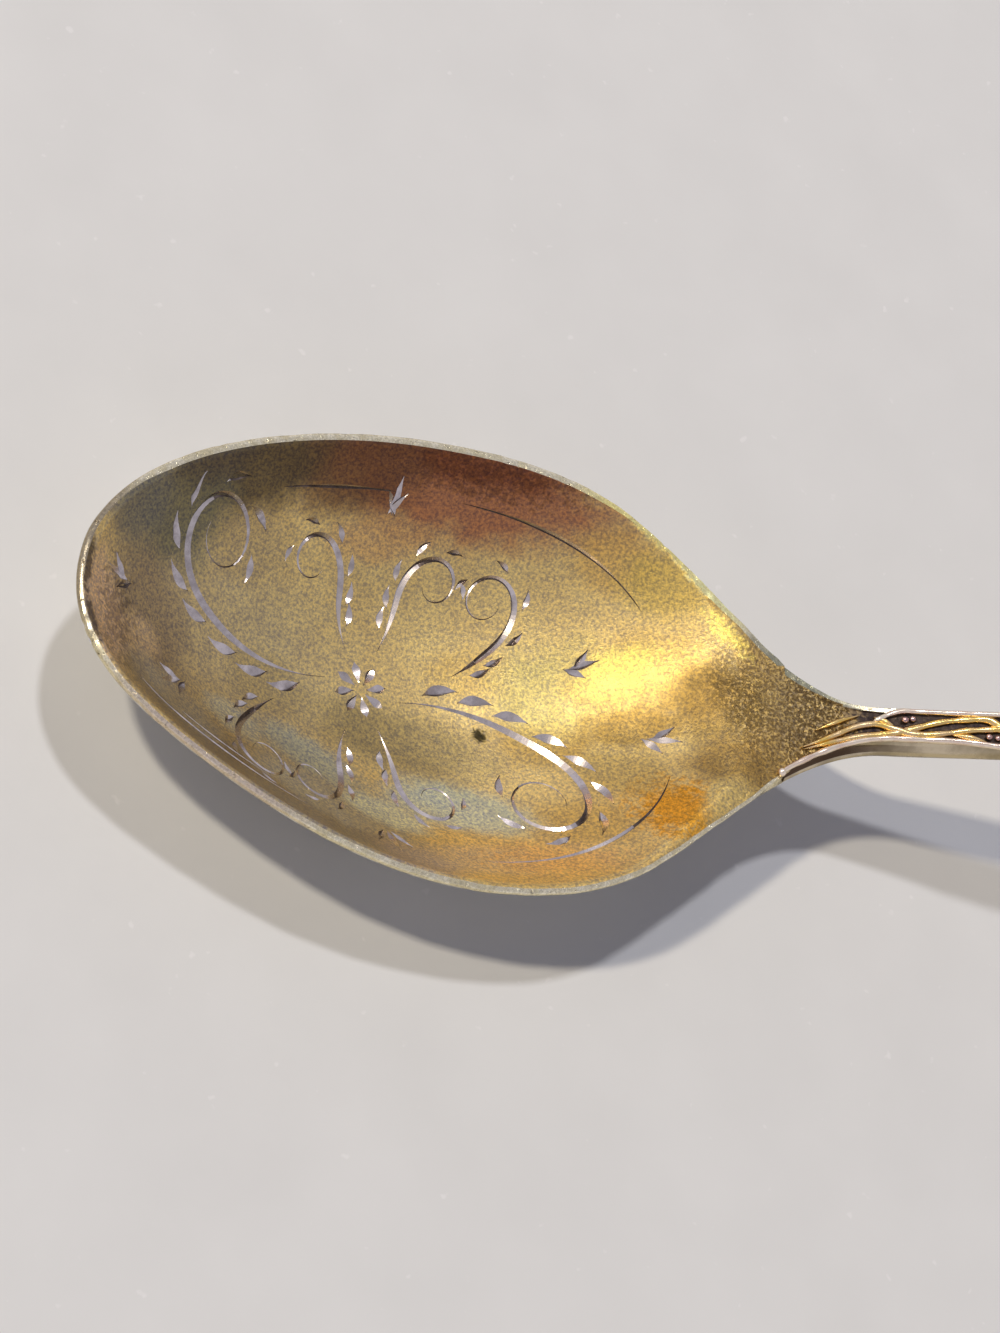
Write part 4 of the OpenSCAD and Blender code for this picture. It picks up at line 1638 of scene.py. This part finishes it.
@dataclass
class Blossom:
    """Five notched petals round a beaded heart, on the terminal's belly.

    Attributes:
        x: Place of its middle along the spoon.
        reach: Distance of a petal's tip from the middle.
        heart: Radius of the heart.
        petals: Number of petals.
        height: Height of a petal over the face.
        half_w: Half-width of a petal.
        notch: Depth of the notch at its tip.
        grains: Number of grains round the heart.
        grain: Radius of a grain.
        rows: Steps along a petal.
        across: Steps round it.
    """

    x: float = 105.4
    reach: float = 3.4
    heart: float = 0.85
    petals: int = 5
    height: float = 0.5
    half_w: float = 1.45
    notch: float = 0.45
    grains: int = 12
    grain: float = 0.17
    rows: int = 22
    across: int = 22

    def petal(self, turn: float, into: bmesh.types.BMesh) -> None:
        """Adds one cupped, notched and veined petal at an angle."""
        c, d = math.cos(turn), math.sin(turn)
        root = self.heart * 0.8

        def place(i: int, j: int) -> Vector:
            """Returns the place of point j of row i, from the petal's root to its tip."""
            t = i / self.rows
            a = math.tau * (j % self.across) / self.across
            width = self.half_w * math.sin(math.pi * min(0.1 + 0.86 * t, 1)) ** 0.7 * (0.55 + 0.45 * t)
            s = width * math.cos(a) if 0 < i < self.rows else 0.0
            notch = self.notch * math.exp(-(s / 0.3) ** 2) * ease((t - 0.6) / 0.4)
            r = root + (self.reach - root) * t - notch
            rise = self.height * (0.35 + 0.65 * math.sin(math.pi * min(t * 0.9 + 0.12, 1)))
            veins = 0.07 * math.exp(-(s / 0.09) ** 2) + 0.035 * math.exp(-((abs(s) - 0.55) / 0.08) ** 2)
            z = (rise - veins) * math.sin(a) ** 0.5 if math.sin(a) > 0 else -0.2
            x = self.x + (r * c - s * d)
            return FORM.rest(x, r * d + s * c, FORM.face(x) + z - 0.02)

        sheet(self.rows, self.across, place, into)

    def finish(self) -> bpy.types.Object:
        """Builds and dresses the blossom, and lets it stand for the CAD one."""
        bm = bmesh.new()
        for k in range(self.petals):
            self.petal(math.tau * k / self.petals, bm)
        ball(bm, FORM.on_face(self.x, 0, 0.25), self.heart, (1, 1, 0.7), (32, 16))
        spots = [(0.72 * self.heart, math.tau * k / self.grains, 0.62) for k in range(self.grains)]
        for r, a, up in (*spots, (0.0, 0.0, 0.8)):
            at = FORM.rest(self.x + r * math.cos(a), r * math.sin(a), FORM.face(self.x) + up)
            ball(bm, at, self.grain, steps=(12, 8))
        made = piece("terminal_blossom", bm, VINE_GILT.make(), sharp=60)
        return register(made, "blossom")


def register(made: bpy.types.Object, node: str) -> bpy.types.Object:
    """Rides a piece on the spoon and hides the CAD node that it stands for."""
    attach(made, BODY)
    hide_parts(node)
    LOG.info("%s stands for %s: %d faces", made.name, node, len(made.data.polygons))
    return made


# Patches of colour on the gilding, the same on the lining and on the neck that goes on from it: olive,
# brown and orange tarnish, a dark maroon band under the far rim, dark grey-green patches toward the tip,
# and the painted reflection, highlights and shade marked below.
TARNISH_AND_PAINTED_LIGHT = (
    ColourPatch(-12.0, -1.0, 15.0, 12.0, "#B0A68C", 0.5),
    ColourPatch(4.0, 13.0, 17.0, 4.2, "#A06C52", 0.92, turn=-3),
    ColourPatch(4.0, 14.7, 12.5, 2.3, "#784A36", 0.9, turn=-4),
    ColourPatch(3.0, 13.9, 14.0, 1.8, "#3A241A", 0.35, turn=-3, cells=0.8),
    ColourPatch(-4.0, 12.6, 8.0, 3.8, "#6B4C3A", 0.85, turn=10),
    ColourPatch(-10.0, 10.8, 7.0, 3.0, "#5B5040", 0.9, turn=30),
    ColourPatch(-15.5, 6.8, 6.5, 4.4, "#6E6E5E", 0.85, turn=35),
    ColourPatch(-17.0, -0.4, 5.0, 6.8, "#9A8A70", 0.9, turn=6),
    ColourPatch(-17.7, -1.6, 2.5, 2.2, "#D2BC98", 0.85),
    ColourPatch(-19.0, 6.4, 4.2, 3.2, "#7E7C72", 0.85, turn=52),
    ColourPatch(-13.8, 10.9, 5.6, 2.5, "#5E564C", 0.9, turn=36),
    ColourPatch(-0.5, 9.4, 5.0, 1.8, "#C0986C", 0.6, turn=8),
    ColourPatch(15.6, 9.8, 4.4, 2.6, "#C6A05C", 0.6, turn=-12),
    ColourPatch(7.4, 2.2, 4.4, 2.6, "#C2A668", 0.65),
    ColourPatch(12.4, -1.8, 4.8, 3.2, "#AA8E52", 0.75),
    ColourPatch(13.4, -8.4, 5.0, 2.6, "#BA9A58", 0.6, turn=8),
    ColourPatch(-21.0, -1.6, 2.8, 5.5, "#DCC2A4", 0.9, turn=6),
    ColourPatch(-19.6, -1.4, 2.2, 5.5, "#4A3A30", 0.4, cells=0.8, ragged=0.25),
    ColourPatch(-13.6, -7.6, 8.0, 3.2, "#8C806E", 0.85, turn=-34),
    # Painted reflection: the grey and blue-white patches from here along the near wall stand in for the
    # cool lamp's reflection.
    ColourPatch(-4.0, -9.0, 9.0, 3.0, "#B2AEA0", 0.8, turn=-18),
    ColourPatch(-6.0, -11.8, 8.5, 3.0, "#9C9486", 0.9, turn=-16),
    ColourPatch(6.4, -7.6, 6.6, 2.5, "#BCC2B2", 0.92, turn=-16),
    ColourPatch(0.2, -9.2, 4.4, 1.7, "#DCE2CE", 0.85, turn=-14),
    ColourPatch(0.6, -13.2, 4.6, 2.0, "#AC9E96", 0.85, turn=-8),
    ColourPatch(5.0, -12.3, 8.0, 1.9, "#C6BCB6", 0.5, turn=6),
    ColourPatch(-15.0, -5.2, 5.6, 2.4, "#BCB6A4", 0.75, turn=-34),
    ColourPatch(-5.4, -9.3, 5.4, 2.2, "#C2C0B2", 0.75, turn=-28),
    ColourPatch(19.0, -7.2, 3.8, 3.6, "#D09834", 0.95, cells=0.25),
    ColourPatch(10.5, -11.6, 7.0, 2.2, "#CFB080", 0.85, turn=6, cells=0.3),
    ColourPatch(18.8, 8.4, 4.4, 2.6, "#CAB066", 0.8, turn=-20),
    ColourPatch(13.2, 1.6, 6.5, 4.8, "#A69C68", 0.75, turn=12),
    ColourPatch(16.5, -4.2, 4.5, 3.0, "#B09A62", 0.6),
    ColourPatch(21.8, 1.6, 2.8, 2.8, "#6E5A34", 0.85, turn=20),
    ColourPatch(18.0, 2.4, 6.5, 4.4, "#B0965A", 0.7, turn=25),
    ColourPatch(17.6, -0.8, 4.8, 2.2, "#866E3E", 0.85, turn=4),
    ColourPatch(2.4, -3.2, 9.6, 3.3, "#9A8A64", 0.85, turn=-8),
    # Painted reflection: more of the blue-white streak along the near wall.
    ColourPatch(-10.2, -4.8, 3.4, 1.8, "#CCCEBC", 0.8, turn=-22),
    ColourPatch(-4.6, -5.8, 6.0, 2.0, "#B6BCB0", 0.85, turn=-22),
    ColourPatch(4.4, -8.1, 6.4, 2.1, "#C8CEC0", 0.85, turn=-8),
    ColourPatch(-7.4, -1.2, 4.4, 3.2, "#B09E74", 0.8, turn=-10),
    ColourPatch(-9.6, 6.8, 4.0, 2.8, "#B29F78", 0.75, turn=20),
    ColourPatch(16.8, 3.2, 3.4, 2.2, "#D6C674", 0.85, turn=24),
    # Painted highlight: a yellow-white glint at the far side of the neck.
    ColourPatch(23.0, 5.4, 0.9, 3.4, "#F2DC7E", 0.8, turn=48, cells=0.25),
    ColourPatch(8.0, -1.9, 0.9, 0.8, "#2E2A1C", 0.95, cells=0.3),
    ColourPatch(22.8, 0.6, 4.6, 4.4, "#76623C", 0.85, ragged=0.2),
    ColourPatch(23.4, -3.8, 4.2, 3.2, "#8A7042", 0.8, ragged=0.2),
    # Painted highlights: thin yellow-white glints along the far edge of the hollow.
    ColourPatch(16.9, 11.7, 3.4, 0.6, "#F0E498", 0.85, turn=-36, cells=0.2),
    ColourPatch(20.4, 9.1, 3.2, 0.65, "#FFF8B8", 0.95, turn=-42, cells=0.2),
    ColourPatch(29.0, 0.4, 4.6, 5.0, "#A08C66", 0.8, ragged=0.25),
    ColourPatch(22.5, -6.8, 3.4, 2.4, "#CDB67A", 0.8, turn=40, ragged=0.15),
    # Painted shade: a thin dark line inside the rim at the tip, where the steep wall falls into shade.
    ColourPatch(-22.0, 4.7, 0.6, 2.6, "#453A30", 0.85, turn=-28, cells=0.2),
    ColourPatch(-22.4, 1.0, 0.6, 3.4, "#453A30", 0.85, turn=-5, cells=0.2),
    ColourPatch(-22.0, -2.6, 0.7, 2.8, "#453A30", 0.85, turn=16, cells=0.2),
)
# Patches on the rim: a painted yellow-white highlight on the far bevel past the widest place, grey-green
# grime at the neck and brown grime at the tip, and a pale beige patch on the near side.
RIM_TARNISH_AND_HIGHLIGHT = (
    # Painted highlight: the far bevel, lit yellow-white.
    ColourPatch(17.0, 10.5, 8.0, 5.0, "#F6E48C", 0.9, turn=-40),
    ColourPatch(27.0, 3.0, 7.0, 3.4, "#98967A", 0.9, turn=-14),
    # Painted highlight: the brightest stretch of that bevel.
    ColourPatch(21.8, 7.6, 4.0, 2.2, "#FFF2A8", 0.95, turn=-42),
    ColourPatch(-22.0, 2.0, 6.0, 8.0, "#96866A", 0.85),
    ColourPatch(-14.0, -9.5, 10.0, 4.0, "#CDB8A0", 0.7, turn=-30),
)
# Fire-gilt silver, matted with fine grit: an even satin gold that tarnish has turned olive and brown in
# patches, with a painted blue-white reflection, painted highlights and painted shade laid over it, and
# that goes over into the coarser casting skin of the neck.
SATIN_GILDING = MetalFinish(
    "satin_gilding", "#D8C188", "#C6B07E", 0.38, 0.48, mottle=3.2, grain=0.2, grain_depth=0.024,
    pit=0.22, pit_level=0.46, pit_colour="#7A6238", lump=0.45, lump_depth=0.03, coarse_from=20.0,
    coarse_to=30.0, speckle=0.33, dull="#F2F2FF", bright="#FFF6CE", scratch_depth=0.004,
    colour_patches=TARNISH_AND_PAINTED_LIGHT)
# The same gilding on the land and the neck, where the casting skin under it shows.
GILT_GROUND = replace(SATIN_GILDING, name="gilt_casting_skin", tone="#CDB378", tone_2="#B89E6A",
                      rough_high=0.5, mottle=2.4, pit_colour="#6A5432", lump_depth=0.04)
# Silver laid bare by the graver: narrow lilac-grey facets that flash white.
BRIGHT_CUT = MetalFinish("bright_cut_silver", "#CEC3B8", "#A69C94", 0.18, 0.32, mottle=0.8,
                         grain_depth=0.004)
# Painted shade on the steep side of each cut: a thin dark line with a little shine.
CUT_SHADE = MetalFinish("painted_shade_in_cut", "#6A5E56", "#4A4038", 0.35, 0.5, mottle=0.6)
# Gilding rubbed thin on the rim: a pale, greenish, half-polished gold over silver.
WORN_GILT = MetalFinish("worn_gilt_rim", "#EEE3BE", "#D3C69C", 0.16, 0.32, mottle=0.8, grain=0.15,
                        grain_depth=0.008, pit=0.35, pit_level=0.33, pit_colour="#5A4C34", speckle=0.2,
                        colour_patches=RIM_TARNISH_AND_HIGHLIGHT)
# Plain silver, hand-polished: a soft mirror with hairline scratches and a yellow bloom.
SILVER_BACK = MetalFinish("polished_silver", "#E6E0D2", "#D2C9B4", 0.14, 0.26, mottle=6.0,
                          grain_depth=0.002, scratch_depth=0.006)
# Cast silver sides, rubbed but tarnished: a dull yellowish-grey gloss.
SIDE_SILVER = MetalFinish("tarnished_silver", "#CBB992", "#A69674", 0.22, 0.36, mottle=2.0, grain=0.2,
                          grain_depth=0.006, scratch_depth=0.004)
# A dark brown band in the cove under the border, with a little shine, thinning out up the stem.
COVE_SILVER = replace(SIDE_SILVER, name="dark_silver_cove", scratch_depth=0.0,
                      colour_patches=(ColourPatch(27.5, 0.0, 10.5, 14.0, "#4C3826", 0.95),))
# Silver sulphide left in the recesses: a dark purple-brown ground with hardly any shine.
OXIDISED_GROUND = MetalFinish("oxidised_ground", "#453A30", "#2B2629", 0.4, 0.6, mottle=0.7, grain=0.18,
                              grain_depth=0.03, lump=0.4, lump_depth=0.05,
                              colour_patches=(ColourPatch(30.6, 0.2, 2.6, 3.0, "#84704E", 0.9, cells=0.4),))
# The terminal's face, matted with a punch: dull grey-brown silver, dark between the punch marks.
MATTED_GROUND = MetalFinish("matted_silver_ground", "#A29580", "#7C6F5E", 0.34, 0.5, mottle=2.6,
                            grain=0.3, grain_depth=0.05, pit=0.3, pit_level=0.5,
                            pit_colour="#3E352E", lump=0.6, lump_depth=0.08, speckle=0.2,
                            colour_patches=(ColourPatch(89.5, 0.0, 7.0, 5.0, "#42382F", 0.95),))
# The tops of the borders, polished by handling: bright silver with a pink and yellow warmth.
BRIGHT_BORDER = MetalFinish("rubbed_silver_border", "#F6E6C6", "#E6CDB2", 0.16, 0.3, mottle=1.1,
                            grain=0.25, grain_depth=0.008)
# Parcel gilding on the vine, worn through on the high places.
VINE_GILT = MetalFinish("parcel_gilt_vine", "#E8C264", "#DCBE8C", 0.16, 0.32, mottle=1.4, grain=0.2,
                        grain_depth=0.012)
# Small cast beads with a pinkish tarnish.
BUD_SILVER = MetalFinish("bead_silver", "#C9A79C", "#9C8078", 0.2, 0.35, mottle=0.6)


@dataclass(frozen=True)
class Lamp:
    """A square lamp that lights the paper by a share of full white.

    Attributes:
        name: Name of the lamp.
        azimuth: Direction from the spoon, in degrees from X.
        height: Angle over the table, in degrees.
        share: How much of full white the lamp alone gives the paper.
        colour: Its colour.
        size: Side of the lamp, in metres.
        far: Distance from the bowl, in metres.
    """

    name: str
    azimuth: float
    height: float
    share: float
    colour: str
    size: float = 0.13
    far: float = 2.4

    def hang(self) -> None:
        """Hangs the lamp, turned to the bowl."""
        data = bpy.data.lights.new(self.name, "AREA")
        up, a = math.radians(self.height), math.radians(self.azimuth)
        data.size, data.color = self.size, linear(self.colour)[:3]
        data.energy = self.share * (math.pi * self.far) ** 2 / math.sin(up)
        way = Vector((math.cos(a) * math.cos(up), math.sin(a) * math.cos(up), math.sin(up)))
        made = bpy.data.objects.new(self.name, data)
        made.matrix_world = (Matrix.Translation(self.far * way + Vector((-0.03, 0, 0)))
                             @ way.to_track_quat("Z", "Y").to_matrix().to_4x4())
        bpy.context.scene.collection.objects.link(made)


LAMPS = (Lamp("main_lamp", 168, 51, 0.41, "#FFF4E2"), Lamp("second_lamp", 112, 68, 0.31, "#F3F4FF"))


@dataclass
class Studio:
    """The paper, the lamps, the world and the camera.

    Attributes:
        paper: Colour that the camera sees past the paper's edge.
        eye: Place of the camera, in millimetres.
        right: Direction of the picture's right.
        down: Direction of the picture's foot.
        ahead: Direction in which the camera looks.
        lens: Its focal length for a film that is 36 mm wide.
    """

    paper: str = "#D9D5D3"
    eye: tuple[float, float, float] = (-130.72, -80.65, 174.49)
    right: tuple[float, float, float] = (0.88270, -0.01518, 0.46969)
    down: tuple[float, float, float] = (0.17222, -0.91949, -0.35337)
    ahead: tuple[float, float, float] = (0.43724, 0.39281, -0.80902)
    lens: float = 116.75

    def camera(self) -> None:
        """Places the camera at the photograph's view."""
        data = bpy.data.cameras.new("view")
        data.lens, data.sensor_width, data.sensor_fit = self.lens, 36.0, "HORIZONTAL"
        data.clip_start, data.clip_end = 0.01, 20.0
        made = bpy.data.objects.new("view", data)
        turn = Matrix((self.right, [-c for c in self.down], [-c for c in self.ahead])).transposed()
        made.matrix_world = Matrix.Translation(MM * Vector(self.eye)) @ turn.to_4x4()
        bpy.context.scene.collection.objects.link(made)
        bpy.context.scene.camera = made

    def world(self) -> None:
        """Sets a plain room: pale walls that darken towards the ceiling."""
        made = bpy.data.worlds.new("room")
        bpy.context.scene.world = made
        tree = cleared(made)
        way = add(tree, "ShaderNodeTexCoord").outputs["Generated"]
        up = add(tree, "ShaderNodeSeparateXYZ", {0: way}).outputs[2]
        dim = add(tree, "ShaderNodeMapRange", {0: up, 1: 0.25, 2: 0.85, 3: 0.52, 4: 0.17},
                  interpolation_type="SMOOTHSTEP").outputs[0]
        pale = add(tree, "ShaderNodeMapRange", {0: up, 1: 0.1, 2: 0.95, 3: 0.92, 4: 0.66},
                   interpolation_type="SMOOTHSTEP").outputs[0]
        path = add(tree, "ShaderNodeLightPath").outputs
        wall = add(tree, "ShaderNodeMix", {0: path["Is Glossy Ray"], 2: dim, 3: pale}).outputs[0]
        light = add(tree, "ShaderNodeBackground", {"Color": linear("#E6E7FF"), "Strength": wall})
        plain = add(tree, "ShaderNodeBackground", {"Color": linear(self.paper), "Strength": 1.0})
        both = add(tree, "ShaderNodeMixShader", {0: path["Is Camera Ray"], 1: light.outputs[0],
                                                 2: plain.outputs[0]})
        add(tree, "ShaderNodeOutputWorld", {"Surface": both.outputs[0]})

    def floor(self) -> None:
        """Lays the paper, with faint fibres and specks."""
        bm = bmesh.new()
        bmesh.ops.create_grid(bm, x_segments=8, y_segments=8, size=4.0)
        made = bpy.data.materials.new("matt_paper")
        tree = cleared(made)
        where = add(tree, "ShaderNodeTexCoord").outputs["Object"]
        cloud = add(tree, "ShaderNodeTexNoise", {"Vector": where, "Scale": per_mm(9.0),
                                                 "Detail": 5.0}).outputs[0]
        fibres = add(tree, "ShaderNodeMapRange", {0: cloud, 1: 0.3, 2: 0.7}).outputs[0]
        colour = add(tree, "ShaderNodeMix", {0: fibres, 6: linear("#DBDAD5"), 7: linear("#DFDED9")},
                     data_type="RGBA").outputs[2]
        dots = add(tree, "ShaderNodeTexNoise", {"Vector": where, "Scale": per_mm(1.3),
                                                "Detail": 2.0}).outputs[0]
        specks = add(tree, "ShaderNodeMapRange", {0: dots, 1: 0.7, 2: 0.76, 4: 0.6}).outputs[0]
        pale = add(tree, "ShaderNodeMix", {0: specks, 6: colour, 7: linear("#EAE8E4")},
                   data_type="RGBA").outputs[2]
        matt = add(tree, "ShaderNodeBsdfPrincipled", {"Base Color": pale, "Roughness": 0.9,
                                                      "Specular IOR Level": 0.1})
        add(tree, "ShaderNodeOutputMaterial", {"Surface": matt.outputs[0]})
        paper = piece("paper", bm, made)

    def build(self) -> None:
        """Builds the whole studio."""
        self.camera()
        self.world()
        self.floor()
        for lamp in LAMPS:
            lamp.hang()
        bpy.context.scene.view_settings.view_transform = "Standard"


def main() -> None:
    """Builds the studio, then each piece of the spoon in order, and reports it."""
    logging.basicConfig(level=logging.INFO, format="%(name)s: %(message)s")
    Studio().build()
    LOG.info("studio is set")
    for part in (BowlShell(), BowlGilding(), Stem(), Terminal(), Borders(), Vine(), Blossom()):
        part.finish()


if __name__ == "__main__":
    main()
